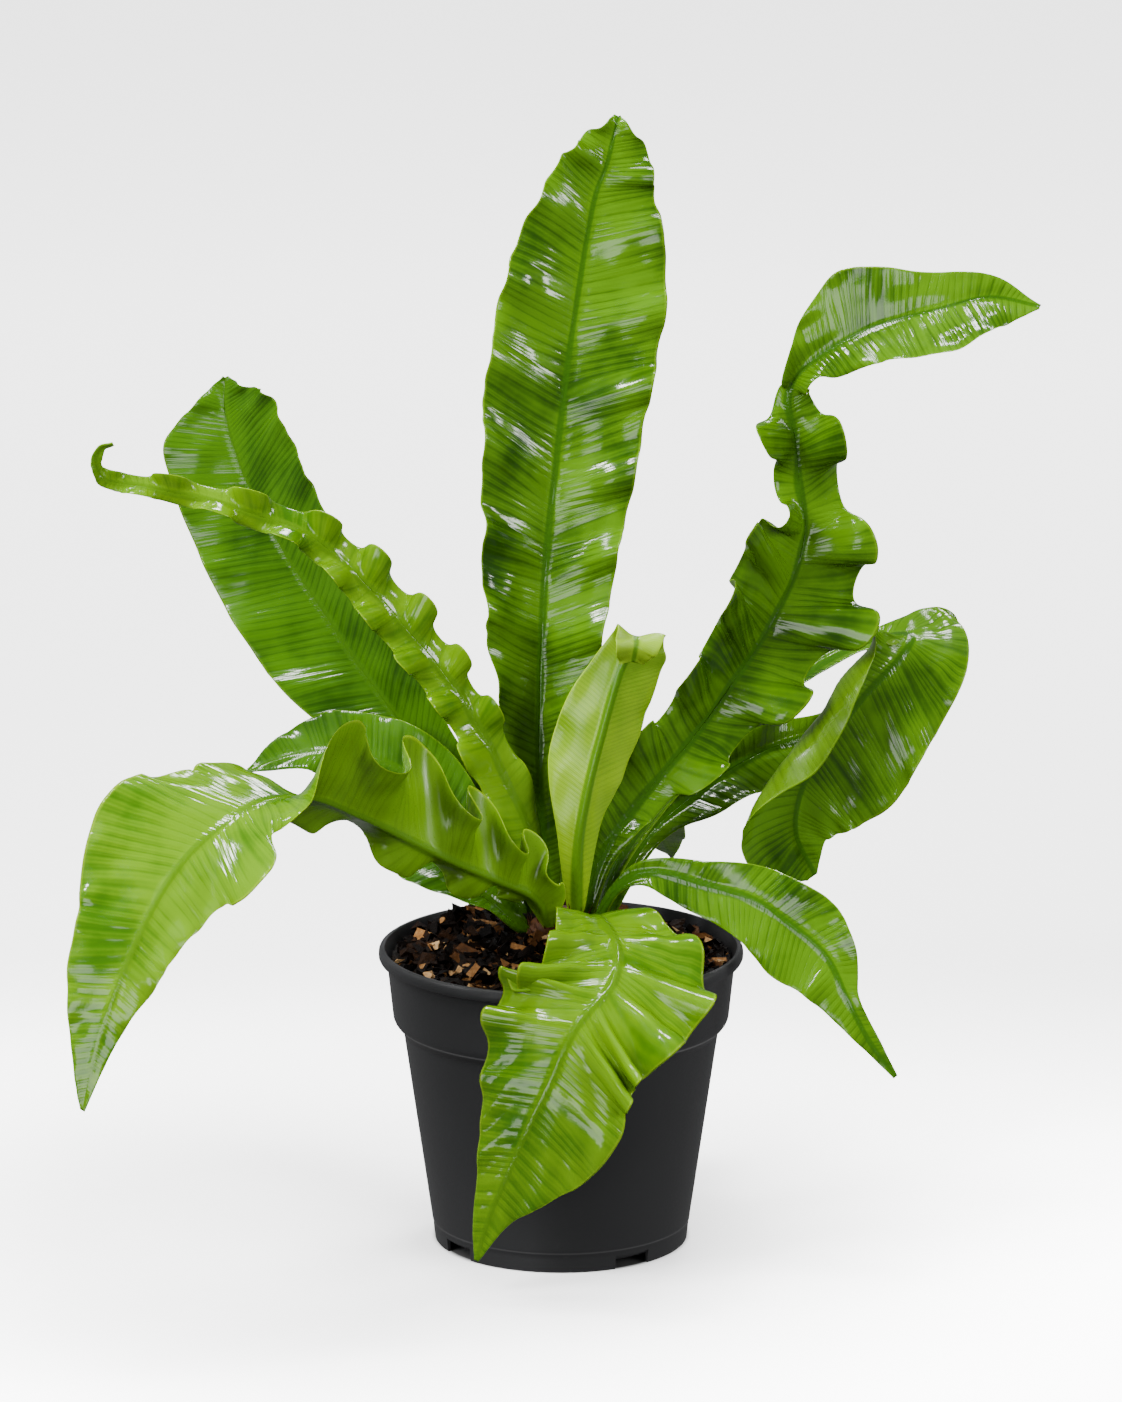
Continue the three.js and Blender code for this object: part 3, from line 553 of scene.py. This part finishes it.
def bladeSheet(frond, share, across, length, seed):
    # the middle surface of a blade, rows by columns, with each point's distance from the rib
    # and its place among the side veins, in turns
    tangent, side, upper = carriedFrames(frond, share)
    roll = np.radians(along(frond["roll"], share))[:, None]
    side, upper = side * np.cos(roll) + upper * np.sin(roll), upper * np.cos(roll) - side * np.sin(roll)
    rib = along(frond["rib"], share)
    free = (1 - np.exp(-((share / blade["stalkShare"]) ** 2)))[:, None]
    sheet = np.zeros((len(share), len(across), 3))
    distance = np.zeros((len(share), len(across)))
    turns = np.zeros((len(share), len(across)))
    for hand, sign in (("Left", -1), ("Right", 1)):
        chosen = np.nonzero(across < 0)[0] if sign < 0 else np.nonzero(across >= 0)[0]
        reach = np.abs(across[chosen])[None, :]
        grown = reach ** blade["waveGrowth"]
        phase = fullTurn * ruffleTurns(frond["crests" + hand], share)[:, None]
        halfWidth = np.maximum(along(frond[hand.lower()], share), blade["leastHalfWidth"])[:, None]
        wave = np.maximum(along(frond["wave" + hand], share), 0)[:, None] * grown * free
        lobe = frond["lobe" + hand] * np.clip(wave / blade["fullLobeWave"], blade["lowestLobe"], 1)
        width = halfWidth * (1 + lobe * np.cos(phase) * grown)
        rise = np.radians(along(frond["fold" + hand], share))[:, None] * free
        bend = np.radians(along(frond["curl" + hand], share))[:, None]
        bend = np.where(np.abs(bend) < leastBend, leastBend, bend)
        slope = rise + bend * reach
        out = width * (np.sin(slope) - np.sin(rise)) / bend
        up = width * (np.cos(rise) - np.cos(slope)) / bend
        spacing = length / len(frond["crests" + hand])
        leanShare = np.minimum(1, wave / blade["fullLeanWave"])
        lean = frond["lean"] * spacing / (2 * fullTurn) * grown * leanShare
        forward = width * reach * math.tan(math.radians(blade["sweep"])) + lean * np.sin(2 * phase)
        far = halfWidth * reach
        place = share[:, None] * length
        wide = np.clip(halfWidth / blade["fullReliefWidth"], 0, 1) * free
        # quilting between the side veins, a slow swell, and a crinkle near the margin
        long, wideAway = blade["veinWanderSize"]
        wander = blade["veinWander"] * ripples(place / long, far / wideAway, seed + sign)
        turn = place / blade["veinSpacing"][frond["finish"]] + wander
        pillow = np.abs(np.sin(math.pi * turn)) ** blade["pillowPower"] - blade["pillowDrop"]
        spread = np.clip(far / blade["pillowStart"], 0, 1) * (1 - blade["pillowFade"] * reach ** 3)
        long, wideAway = blade["varySize"]
        uneven = ripples(place / long, far / wideAway + 5 * sign, seed + 3)
        vary = np.clip(blade["varyMiddle"] + blade["varyBy"] * uneven, *blade["varyLimits"])
        # strong ruffles stay even, gentle ones lean over
        calm = np.clip(blade["skewStart"] - wave / blade["skewFade"], 0, 1)
        crest = phase + blade["foldSkew"] * calm * np.sin(phase)
        lift = wave * np.cos(crest) + frond["pleat"] * pillow * spread * vary * wide
        long, wideAway = blade["swellSize"]
        swell = ripples(place / long, far / wideAway + 9 * sign, seed + 5)
        lift = lift + blade["swell"] * swell * wide * reach
        drift = blade["crinkleWander"] * ripples(place / blade["crinkleWanderSize"], 0 * far, seed + sign)
        crinkle = np.sin(fullTurn * place / blade["crinkleSpacing"] + drift)
        lift = lift + frond["crisp"] * crinkle * reach ** blade["crinklePower"] * wide
        sheet[:, chosen] = (
            rib[:, None]
            + side[:, None] * (sign * (out - lift * np.sin(slope)))[..., None]
            + upper[:, None] * (up + lift * np.cos(slope))[..., None]
            + tangent[:, None] * forward[..., None]
        )
        distance[:, chosen] = far
        turns[:, chosen] = turn
    return sheet, distance, turns


def buildFrond(frond, seed):
    fine = np.linspace(0, 1, blade["ribSamples"])
    length = np.linalg.norm(np.diff(along(frond["rib"], fine), axis=0), axis=1).sum()
    rows = max(blade["fewestRows"], round(length / blade["rowStep"]))
    share = np.linspace(0, 1, rows + 1)
    stops = np.array(blade["reachStops"])
    across = np.concatenate([-stops[:0:-1], stops])
    span = len(across) - 1
    sheet, distance, turns = bladeSheet(frond, share, across, length, seed)
    normal = np.cross(np.gradient(sheet, axis=1), np.gradient(sheet, axis=0))
    normal /= np.linalg.norm(normal, axis=2)[..., None] + 1e-12
    # a rounded stalk, then a thin blade with a keeled rib below and a groove beside it above
    stalk = np.exp(-((share / blade["stalkShare"]) ** 2))[:, None]
    bulge = np.sqrt(1 - across**2)[None, :]
    flat = blade["thickness"] / 2 * (1 - across**16)[None, :]
    half = flat + (blade["stalkHeight"] - blade["thickness"] / 2) * stalk * bulge
    taper = (1 - blade["taperShare"] * share)[:, None] * (1 - across**2)[None, :]
    ridge = np.exp(-((distance / blade["ribWidth"]) ** 2)) * taper
    groove = np.exp(-(((distance - blade["grooveAway"]) / blade["grooveWidth"]) ** 2))
    groove = groove * taper * blade["ribGroove"]
    above = sheet + normal * (half + blade["ribHeight"] * ridge - groove)[..., None]
    below = sheet - normal * (half + blade["keelShare"] * blade["ribHeight"] * ridge)[..., None]

    # one grid, rolled round the blade: the first half of its columns is the upper face
    bm = bmesh.new()
    bmesh.ops.create_grid(bm, x_segments=2 * span, y_segments=rows, size=0.5)
    mesh = toMesh(bm, frond["name"])
    flatPlace = np.zeros(len(mesh.vertices) * 3)
    mesh.vertices.foreach_get("co", flatPlace)
    flatPlace = flatPlace.reshape(-1, 3)
    column = np.round((flatPlace[:, 0] + 0.5) * 2 * span).astype(int)
    row = np.round((flatPlace[:, 1] + 0.5) * rows).astype(int)
    over = column <= span
    stop = np.where(over, column, 2 * span - column)
    places = np.where(over[:, None], above[row, stop], below[row, stop])
    middle = np.zeros(len(mesh.polygons) * 3)
    mesh.polygons.foreach_get("center", middle)
    underneath = (middle.reshape(-1, 3)[:, 0] > 0).astype(np.int32)
    mesh.vertices.foreach_set("co", (places * mm).ravel())
    mesh.polygons.foreach_set("material_index", underneath)
    bladePlace = mesh.attributes.new("bladePlace", "FLOAT_VECTOR", "POINT")
    ribReach = distance / (blade["ribBand"] * (1 - blade["ribFade"] * share))[:, None]
    values = np.stack([across[stop], turns[row, stop], ribReach[row, stop]], 1)
    bladePlace.data.foreach_set("vector", values.ravel())
    bm = bmesh.new()
    bm.from_mesh(mesh)
    bmesh.ops.remove_doubles(bm, verts=bm.verts, dist=1e-7)
    bmesh.ops.holes_fill(bm, edges=[edge for edge in bm.edges if edge.is_boundary], sides=0)
    bpy.data.meshes.remove(mesh)
    mesh = toMesh(bm, frond["name"])
    mesh.shade_smooth()
    finish = leafFinishes[frond["finish"]]
    addPiece(frond["name"], mesh, finish, frond["slot"], frond["node"])


leafLooks = dict(
    mid=dict(light=(0.036, 0.096, 0.0001), dark=(0.0055, 0.023, 0.0001), rib=(0.012, 0.046, 0.0001),
             margin=(0.08, 0.16, 0.001), under=(0.042, 0.095, 0.0003), gloss=0.08, veins=0.5),
    bright=dict(light=(0.056, 0.125, 0.0001), dark=(0.015, 0.055, 0.0001), rib=(0.034, 0.085, 0.0002),
                margin=(0.13, 0.21, 0.002), under=(0.062, 0.14, 0.0002), gloss=0.08, veins=0.25),
    # deep: a darker green for the fronds at the back and left, partly their own colour and partly painted
    # shade
    deep=dict(light=(0.021, 0.066, 0.0002), dark=(0.005, 0.022, 0.0001), rib=(0.018, 0.055, 0.0002),
              margin=(0.055, 0.115, 0.001), under=(0.024, 0.07, 0.0003), gloss=0.1, veins=0.35),
    young=dict(light=(0.12, 0.21, 0.004), dark=(0.06, 0.13, 0.001), rib=(0.024, 0.075, 0.0005),
               margin=(0.2, 0.3, 0.015), under=(0.12, 0.21, 0.004), gloss=0.12, veins=0.3),
)
leafPattern = dict(
    mottling=30,
    grain=1300,
    uneven=55,
    streaks=3,
    streakDrift=6,
    glow=0.16,
    glowBoost=2.5,
    coat=0.05,
    underCoat=0.02,
    coatRoughness=0.12,
    level=0.35,
    underRoughness=0.16,
    grainRoughness=0.1,
    ribSpan=(0.6, 1.1),
    marginSpan=(0.96, 0.995),
    bumpStrength=0.25,
    bumpDepth=0.0004,
)


def leafFinish(name, look, under):
    # veins and pleats follow the blade's own coordinates: share across, turns of the side
    # veins, distance from the rib
    f = Finish(name)
    place = f.add("ShaderNodeAttribute", {"attribute_name": "bladePlace"}, output="Vector")
    across = f.add("ShaderNodeSeparateXYZ", {}, {"Vector": place}, output="X")
    turns = across.other("Y")
    fromRib = across.other("Z")
    mottle = f.noise(leafPattern["mottling"], 4)
    grain = f.noise(leafPattern["grain"], 2)
    groove = abs((turns * math.pi).sine())
    drift = mottle * leafPattern["streakDrift"]
    streak = (turns * (fullTurn * leafPattern["streaks"]) + drift).sine() * 0.5 + 0.5
    ribMask = 1 - fromRib.fade(*leafPattern["ribSpan"])
    uneven = f.noise(leafPattern["uneven"], 3).fade(0.35, 0.65)
    inside = 1 - abs(across).fade(0.7, 1)
    valley = look["veins"] * (1 - groove.fade(0.0, 0.45)) * fromRib.fade(1.0, 3) * inside * uneven
    marginMask = abs(across).fade(*leafPattern["marginSpan"])
    light = look["under"] if under else look["light"]
    dark = tuple(0.6 * v for v in light) if under else look["dark"]
    share = mottle * 2.4 - 0.8 + groove * 0.25 + streak * 0.15
    colour = f.blendColour(share.fade(0.05, 0.95), dark, light)
    colour = f.blendColour(valley, colour, tuple(0.7 * v for v in dark))
    colour = f.blendColour(ribMask * 0.85, colour, look["rib"])
    colour = f.blendColour(marginMask * 0.6, colour, look["margin"])
    relief = streak * 0.3 + grain * 0.3 + groove * 0.5
    normal = f.bump(relief, leafPattern["bumpStrength"], leafPattern["bumpDepth"])
    base = look["gloss"] + (leafPattern["underRoughness"] if under else 0.0)
    rough = grain * leafPattern["grainRoughness"] + base
    shine = f.add(
        "ShaderNodeBsdfPrincipled",
        {},
        {
            "Base Color": colour,
            "Roughness": rough,
            "Normal": normal,
            "Specular IOR Level": leafPattern["level"],
            "Coat Weight": leafPattern["underCoat" if under else "coat"],
            "Coat Roughness": leafPattern["coatRoughness"],
        },
    )
    glowColour = [leafPattern["glowBoost"] * (one + other) / 2 for one, other in zip(light, dark)]
    through = f.add("ShaderNodeBsdfTranslucent", {}, {"Color": (*glowColour, 1), "Normal": normal})
    return f.close(f.add("ShaderNodeMixShader", {}, {0: leafPattern["glow"], 1: shine, 2: through}))


leafFinishes = {
    key: [leafFinish(key + "LeafUpper", look, False), leafFinish(key + "LeafUnder", look, True)]
    for key, look in leafLooks.items()
}
for index, frond in enumerate(fronds):
    buildFrond(frond, 20 + 11 * index)
print("fronds", len(fronds))


# pot: a moulded wall with a collar, a rolled rim and a skirt with drain notches
pot = dict(
    segments=144,
    notchTop=5.6,
    notchWidth=7,
    notchTurns=[-143, -55, 37, 125],
    outside=[(52.9, 5.6), (53.0, 7.6), (53.35, 8.2), (53.5, 9.5), (59.2, 49), (64.85, 88.4),
             (65.0, 89.2), (65.5, 89.8), (66.2, 90.6), (67.6, 92.2), (68.5, 93.4), (69.1, 94.8),
             (69.3, 96.5), (70.4, 107), (71.55, 118), (71.9, 118.7), (73.6, 118.9), (74.5, 119.3),
             (74.95, 120.2), (75.0, 121.3), (74.9, 122.5), (74.5, 123.4), (73.8, 123.9), (73.2, 124),
             (72.5, 123.9), (72.2, 123.4)],
    inside=[(70.2, 117), (67.9, 97), (67.4, 95.6), (63.9, 91.2), (63.4, 89), (51.7, 4.6)],
    floor=[(24, 4.6), (22, 1.6), (0, 1.6)],
    underside=[(0, 0), (21.6, 0), (22.2, 0.3), (24, 3), (48.9, 3), (49.3, 5.6), (51.3, 5.6)],
    footRadius=52.3,
    skirtMiddle=52,
    ringInside=50.5,
    # two painted highlight lines, at the collar and at the foot, as heights in metres
    highlightLines=[((0.0921, 0.0924), (0.0928, 0.0934)), ((0.0078, 0.0081), (0.0084, 0.0088))],
)


def potFinish():
    f = Finish("potPlastic")
    grain = f.noise(900, 2)
    drift = f.noise(14, 3)
    scuffs = f.noise(60, 6, roughness=0.7).fade(0.62, 0.8)
    colour = f.blendColour(drift, (0.0078, 0.0079, 0.0083), (0.0108, 0.011, 0.0114))
    colour = f.blendColour(scuffs * 0.12, colour, (0.06, 0.06, 0.061))
    height = f.add("ShaderNodeSeparateXYZ", {}, {"Vector": f.objectPlace()}, output="Z")
    collarHighlight, footHighlight = (
        height.fade(*rises) * (1 - height.fade(*falls)) for rises, falls in pot["highlightLines"]
    )
    # lighter lines at the collar and the foot: painted highlights on the edges
    colour = f.blendColour(collarHighlight * 0.35 + footHighlight * 0.14, colour, (0.12, 0.12, 0.122))
    rough = drift * 0.12 + grain * 0.1 + 0.38
    normal = f.bump(grain, 0.12, 0.0002)
    return f.plain(colour, rough, normal, 0.22)


def buildPot():
    bm = bmesh.new()
    line = pot["underside"] + pot["outside"] + pot["inside"] + pot["floor"]
    spinLine(bm, line, pot["segments"])
    # the skirt grows down from the ring between the notches
    wallFoot = pot["outside"][0][0]
    ring = []
    step = 360 / pot["segments"]
    for face in bm.faces:
        middle = face.calc_center_median()
        radius = math.hypot(middle.x, middle.y) / mm
        if abs(middle.z / mm - pot["notchTop"]) > 0.1 or radius < pot["ringInside"]:
            continue
        turn = math.degrees(math.atan2(middle.y, middle.x))
        apart = min(abs((turn - notch + 180) % 360 - 180) for notch in pot["notchTurns"])
        if apart > pot["notchWidth"] * step / 2:
            ring.append(face)
    grown = bmesh.ops.extrude_face_region(bm, geom=ring)["geom"]
    bmesh.ops.delete(bm, geom=ring, context="FACES")
    for vert in [item for item in grown if isinstance(item, bmesh.types.BMVert)]:
        radius = math.hypot(vert.co.x, vert.co.y) / mm
        shrink = (pot["footRadius"] - wallFoot) / wallFoot if radius > pot["skirtMiddle"] else 0
        vert.co = Vector((vert.co.x * (1 + shrink), vert.co.y * (1 + shrink), 0))
    bmesh.ops.recalc_face_normals(bm, faces=bm.faces)
    addPiece("nurseryPot", toMesh(bm, "nurseryPot", 32), [potFinish()], "pot", "pot")


buildPot()
print("pot")


# potting mix: a heaped bed, bark chips and light grit
mix = dict(
    wallLevel=118.5,
    crownLevel=133,
    crownSpread=0.5,
    lumpHeight=1.8,
    lumpTurns=(0.31, 0.27),
    mound=4.2,
    moundPlace=(-45, 38),
    moundWidth=18,
    inside=[(0, 5.2), (50.6, 5.2), (62.6, 90), (66.8, 96)],
    edgeGap=0.4,
    # spacing and height of the coarse and the fine roughness
    roughness=[(9, 0.8), (3.5, 0.5)],
    radius=70.2,
    rings=46,
    segments=132,
    chips=1500,
    grit=260,
    crumbs=900,
    # of a bit of bark or grit: width in shares of its length, tilts and how far its corners stray
    bitWidth=(0.18, 0.6),
    bitTiltX=(-0.7, 0.7),
    bitTiltY=(-0.6, 0.6),
    bitStray=0.16,
    wallGap=0.8,
)


def bedHeight(x, y):
    r = np.hypot(x, y) / mix["radius"]
    heap = np.exp(-((r / mix["crownSpread"]) ** 2))
    turnsX, turnsY = mix["lumpTurns"]
    lumps = np.sin(turnsX * x + np.sin(turnsY * y)) + np.sin(turnsY * y + np.sin(turnsX * x))
    edge = np.clip(4 * (1 - r), 0, 1)
    # one mound near the wall, where the bed shows between two fronds
    moundX, moundY = mix["moundPlace"]
    wide = mix["moundWidth"]
    lumps = lumps + mix["mound"] * np.exp(-(((x - moundX) / wide) ** 2) - ((y - moundY) / wide) ** 2)
    return mix["wallLevel"] + (mix["crownLevel"] - mix["wallLevel"]) * heap + mix["lumpHeight"] * lumps * edge


def bedFinish():
    f = Finish("pottingMix")
    coarse = f.noise(240, 6, roughness=0.7)
    fine = f.noise(900, 4, roughness=0.7)
    stops = [(0.0, (0.0007, 0.0005, 0.0004)), (0.5, (0.002, 0.0013, 0.0008)),
             (0.66, (0.007, 0.0038, 0.0018)), (0.8, (0.025, 0.013, 0.006))]
    colour = f.add("ShaderNodeValToRGB", {"stops": stops}, {"Fac": coarse})
    normal = f.bump(coarse * 0.6 + fine * 0.4, 0.9, 0.002)
    rough = fine * 0.2 + 0.7
    return f.plain(colour, rough, normal, 0.15)


def chipFinish():
    f = Finish("barkChips")
    tone = f.add("ShaderNodeAttribute", {"attribute_name": "tone"}, output="Fac")
    fibre = f.noise(420, 5, roughness=0.65)
    stops = [(0.0, (0.0006, 0.0004, 0.0003)), (0.45, (0.0018, 0.001, 0.0006)),
             (0.64, (0.008, 0.0034, 0.0013)), (0.78, (0.04, 0.016, 0.0045)),
             (0.9, (0.11, 0.05, 0.015)), (1.0, (0.2, 0.13, 0.06))]
    colour = f.add("ShaderNodeValToRGB", {"stops": stops}, {"Fac": tone + (fibre - 0.5) * 0.3})
    normal = f.bump(fibre, 0.8, 0.0012)
    rough = fibre * 0.3 + 0.5
    return f.plain(colour, rough, normal, 0.08)


def buildMix():
    bm = bmesh.new()
    line = mix["inside"] + [(mix["radius"] - mix["edgeGap"], mix["wallLevel"])]
    line += [(mix["radius"] * (1 - i / mix["rings"]), mix["wallLevel"]) for i in range(1, mix["rings"] + 1)]
    spinLine(bm, line, mix["segments"])
    for vert in bm.verts:
        x, y, z = vert.co / mm
        if z > mix["wallLevel"] - 0.1:
            rough = sum(
                ripples(x / spacing, y / spacing, 4 + index) * height
                for index, (spacing, height) in enumerate(mix["roughness"])
            )
            vert.co.z = (bedHeight(x, y) + float(rough)) * mm
    addPiece("pottingBed", toMesh(bm, "pottingBed", 180), [bedFinish()], "potting_mix", "potting_mix")

    draw = np.random.default_rng(12)
    bm = bmesh.new()
    tone = bm.verts.layers.float.new("tone")

    def scatter(count, shape, longest, flatness, tones, rise):
        # each bit takes the first range of tones with the given share, else the second
        first, second, share = tones
        for _ in range(count):
            turn = draw.uniform(0, fullTurn)
            length = draw.uniform(*longest)
            r = (mix["radius"] - 0.5 * length - mix["wallGap"]) * math.sqrt(draw.uniform(0.05, 1))
            x, y = r * math.cos(turn), r * math.sin(turn)
            z = float(bedHeight(x, y)) + rise * length
            size = (length, length * draw.uniform(*mix["bitWidth"]), length * draw.uniform(*flatness))
            tilts = [draw.uniform(*span) for span in (mix["bitTiltX"], mix["bitTiltY"], (0, fullTurn))]
            lean = Euler(tilts)
            place = Matrix.LocRotScale(Vector((x, y, z)) * mm, lean, Vector(size) * mm)
            if shape == "chip":
                made = bmesh.ops.create_cube(bm, size=1, matrix=place)["verts"]
            else:
                made = bmesh.ops.create_icosphere(bm, subdivisions=1, radius=0.5, matrix=place)["verts"]
            value = draw.uniform(*first) if draw.uniform() < share else draw.uniform(*second)
            for vert in made:
                vert.co += Vector(draw.uniform(-mix["bitStray"], mix["bitStray"], 3)) * length * mm
                vert[tone] = value

    scatter(mix["crumbs"], "grit", (1.2, 4), (0.5, 0.9), ((0.0, 0.5), (0.5, 0.75), 0.8), 0.05)
    scatter(mix["chips"], "chip", (2, 10), (0.14, 0.34), ((0.0, 0.62), (0.6, 0.98), 0.74), 0.12)
    scatter(mix["grit"], "grit", (1.3, 3.4), (0.5, 0.9), ((0.75, 1.0), (0.6, 0.8), 0.6), 0.2)
    addPiece("barkChips", toMesh(bm, "barkChips", 30), [chipFinish()], "potting_mix")


buildMix()
print("potting mix")


# crown: a scaly stem among the stalks
crown = dict(
    outline=[(0, 112), (15, 112), (21, 120), (20, 129), (15, 134), (7.5, 139), (0, 141)],
    segments=72,
    scales=170,
    scaleRadii=(20, 7),
    scaleHeights=(125, 139),
    scaleLengths=(6, 14),
)


def crownFinish():
    f = Finish("crownScales")
    streak = f.noise(320, 5, roughness=0.65)
    patch = f.noise(60, 3)
    colour = f.blendColour(patch, (0.006, 0.0025, 0.001), (0.035, 0.012, 0.004))
    colour = f.blendColour(streak.fade(0.5, 0.8), colour, (0.08, 0.032, 0.01))
    normal = f.bump(streak, 0.8, 0.001)
    rough = streak * 0.25 + 0.55
    return f.plain(colour, rough, normal, 0.2)


def buildCrown():
    bm = bmesh.new()
    spinLine(bm, crown["outline"], crown["segments"])
    draw = np.random.default_rng(31)
    widest, narrowest = crown["scaleRadii"]
    low, high = crown["scaleHeights"]
    for _ in range(crown["scales"]):
        turn = draw.uniform(0, fullTurn)
        height = draw.uniform(0, 1)
        r = widest - (widest - narrowest) * height + draw.uniform(-1, 2)
        foot = Vector((r * math.cos(turn), r * math.sin(turn), low + (high - low) * height))
        length = draw.uniform(*crown["scaleLengths"])
        lean = Euler((draw.uniform(-0.3, 0.3), draw.uniform(0.1, 0.9) * (1.2 - height), turn))
        place = Matrix.LocRotScale(foot * mm, lean, Vector((0.4, 1, 1)) * mm)
        bmesh.ops.create_cone(bm, segments=6, radius1=draw.uniform(1, 2), radius2=0.08, depth=length,
                              cap_ends=True, matrix=place)
    addPiece("crownScales", toMesh(bm, "crownScales", 50), [crownFinish()], "crown", "crown")


buildCrown()
print("crown")


# stage: floor, light and camera
stage = dict(
    floorSize=40,
    world=(0.93, 0.93, 0.935),
    worldStrength=0.35,
    floorTint=0.8,
    # painted contact shadow under the pot: its dark tint and the radii over which it fades out
    contactShadowTint=0.02,
    contactShadowSpan=(0.0505, 0.0545),
    # painted glow of the floor: strongest in front, left out round shadeCentre as a painted shadow, and a
    # weaker glow far off
    shadeCentre=(-0.1, 0.01, 0),
    nearGlow=6.5,
    nearSpan=(0.09, 0.36),
    nearDepth=(-0.05, 0.45),
    farGlow=2.7,
    glowStrength=10,
    farSpan=(0.3, 2.5),
    lamps=[
        # soft ones light without being mirrored, the small ones give the gloss
        dict(name="topSoft", place=(0.15, 0.1, 2.5), size=1.3, power=80, gloss=False),
        dict(name="keySoft", place=(-1.4, -1.1, 1.4), size=1.2, power=225, gloss=False),
        dict(name="fillSoft", place=(1.7, -1.2, 0.8), size=1.0, power=85, gloss=False),
        dict(name="keyGlint", place=(-1.3, -0.3, 1.8), size=0.3, power=40, gloss=True),
        dict(name="topGlint", place=(-0.25, 0.1, 2.3), size=0.34, power=35, gloss=True),
        dict(name="lowGlint", place=(-0.95, -1.75, 0.15), size=0.8, power=16, gloss=True),
        dict(name="sideGlint", place=(1.7, -0.6, 1.0), size=0.45, power=22, gloss=True),
        dict(name="backGlint", place=(0.4, 1.2, 1.75), size=0.4, power=30, gloss=True),
    ],
    lampTarget=(0, 0, 0.22),
    camera=dict(place=(0, -2.5, 0.813), pitch=13.19, lens=161.87, sensor=36),
)


def floorFinish():
    # the paper glows with painted light, away from the pot, so that it stays white as the lamps fall off;
    # round shadeCentre the glow is left out as a painted shadow
    f = Finish("paleFloor")
    place = f.objectPlace()
    away = f.add("ShaderNodeVectorMath", {"operation": "DISTANCE"},
                 {0: place, 1: stage["shadeCentre"]}, output="Value")
    depth = f.add("ShaderNodeSeparateXYZ", {}, {"Vector": place}, output="Y")
    beside = f.add("ShaderNodeVectorMath", {"operation": "LENGTH"}, {0: place}, output="Value")
    # 0 inside the painted contact shadow under the pot, 1 outside it
    clear = beside.fade(*stage["contactShadowSpan"])
    near = away.fade(*stage["nearSpan"]) * (1 - depth.fade(*stage["nearDepth"])) * clear * stage["nearGlow"]
    glow = near + away.fade(*stage["farSpan"]) * stage["farGlow"]
    # the colour of a glow stays below 1, so its strength is split off
    glowColour = f.blendColour(glow * (1 / stage["glowStrength"]), (0, 0, 0), (1, 1, 1))
    tint = tuple([stage["floorTint"]] * 3)
    under = tuple([stage["contactShadowTint"]] * 3)
    # the floor is darkened under the pot as a painted contact shadow
    colour = f.blendColour(clear, under, tint)
    sockets = {"Base Color": colour, "Roughness": 0.7, "Specular IOR Level": 0.1,
               "Emission Color": glowColour, "Emission Strength": stage["glowStrength"]}
    return f.close(f.add("ShaderNodeBsdfPrincipled", {}, sockets))


def buildStage():
    bm = bmesh.new()
    bmesh.ops.create_grid(bm, x_segments=8, y_segments=8, size=stage["floorSize"])
    mesh = toMesh(bm, "floor")
    mesh.materials.append(floorFinish())
    floor = bpy.data.objects.new("floor", mesh)
    floor.visible_diffuse = False
    floor.visible_glossy = False
    bpy.context.collection.objects.link(floor)

    world = bpy.data.worlds.new("studio")
    world.use_nodes = True
    background = world.node_tree.nodes["Background"]
    background.inputs["Color"].default_value = (*stage["world"], 1)
    background.inputs["Strength"].default_value = stage["worldStrength"]
    bpy.context.scene.world = world
    target = Vector(stage["lampTarget"])
    for lamp in stage["lamps"]:
        light = bpy.data.lights.new(lamp["name"], "AREA")
        light.shape = "SQUARE"
        light.size = lamp["size"]
        light.energy = lamp["power"]
        piece = bpy.data.objects.new(lamp["name"], light)
        piece.location = lamp["place"]
        piece.visible_glossy = lamp["gloss"]
        piece.rotation_euler = (target - piece.location).to_track_quat("-Z", "Y").to_euler()
        bpy.context.collection.objects.link(piece)

    shot = stage["camera"]
    lens = bpy.data.cameras.new("camera")
    lens.sensor_fit = "VERTICAL"
    lens.sensor_height = shot["sensor"]
    lens.lens = shot["lens"]
    camera = bpy.data.objects.new("camera", lens)
    camera.location = shot["place"]
    camera.rotation_euler = (math.radians(90 - shot["pitch"]), 0, 0)
    bpy.context.collection.objects.link(camera)
    bpy.context.scene.camera = camera


buildStage()
print("stage")
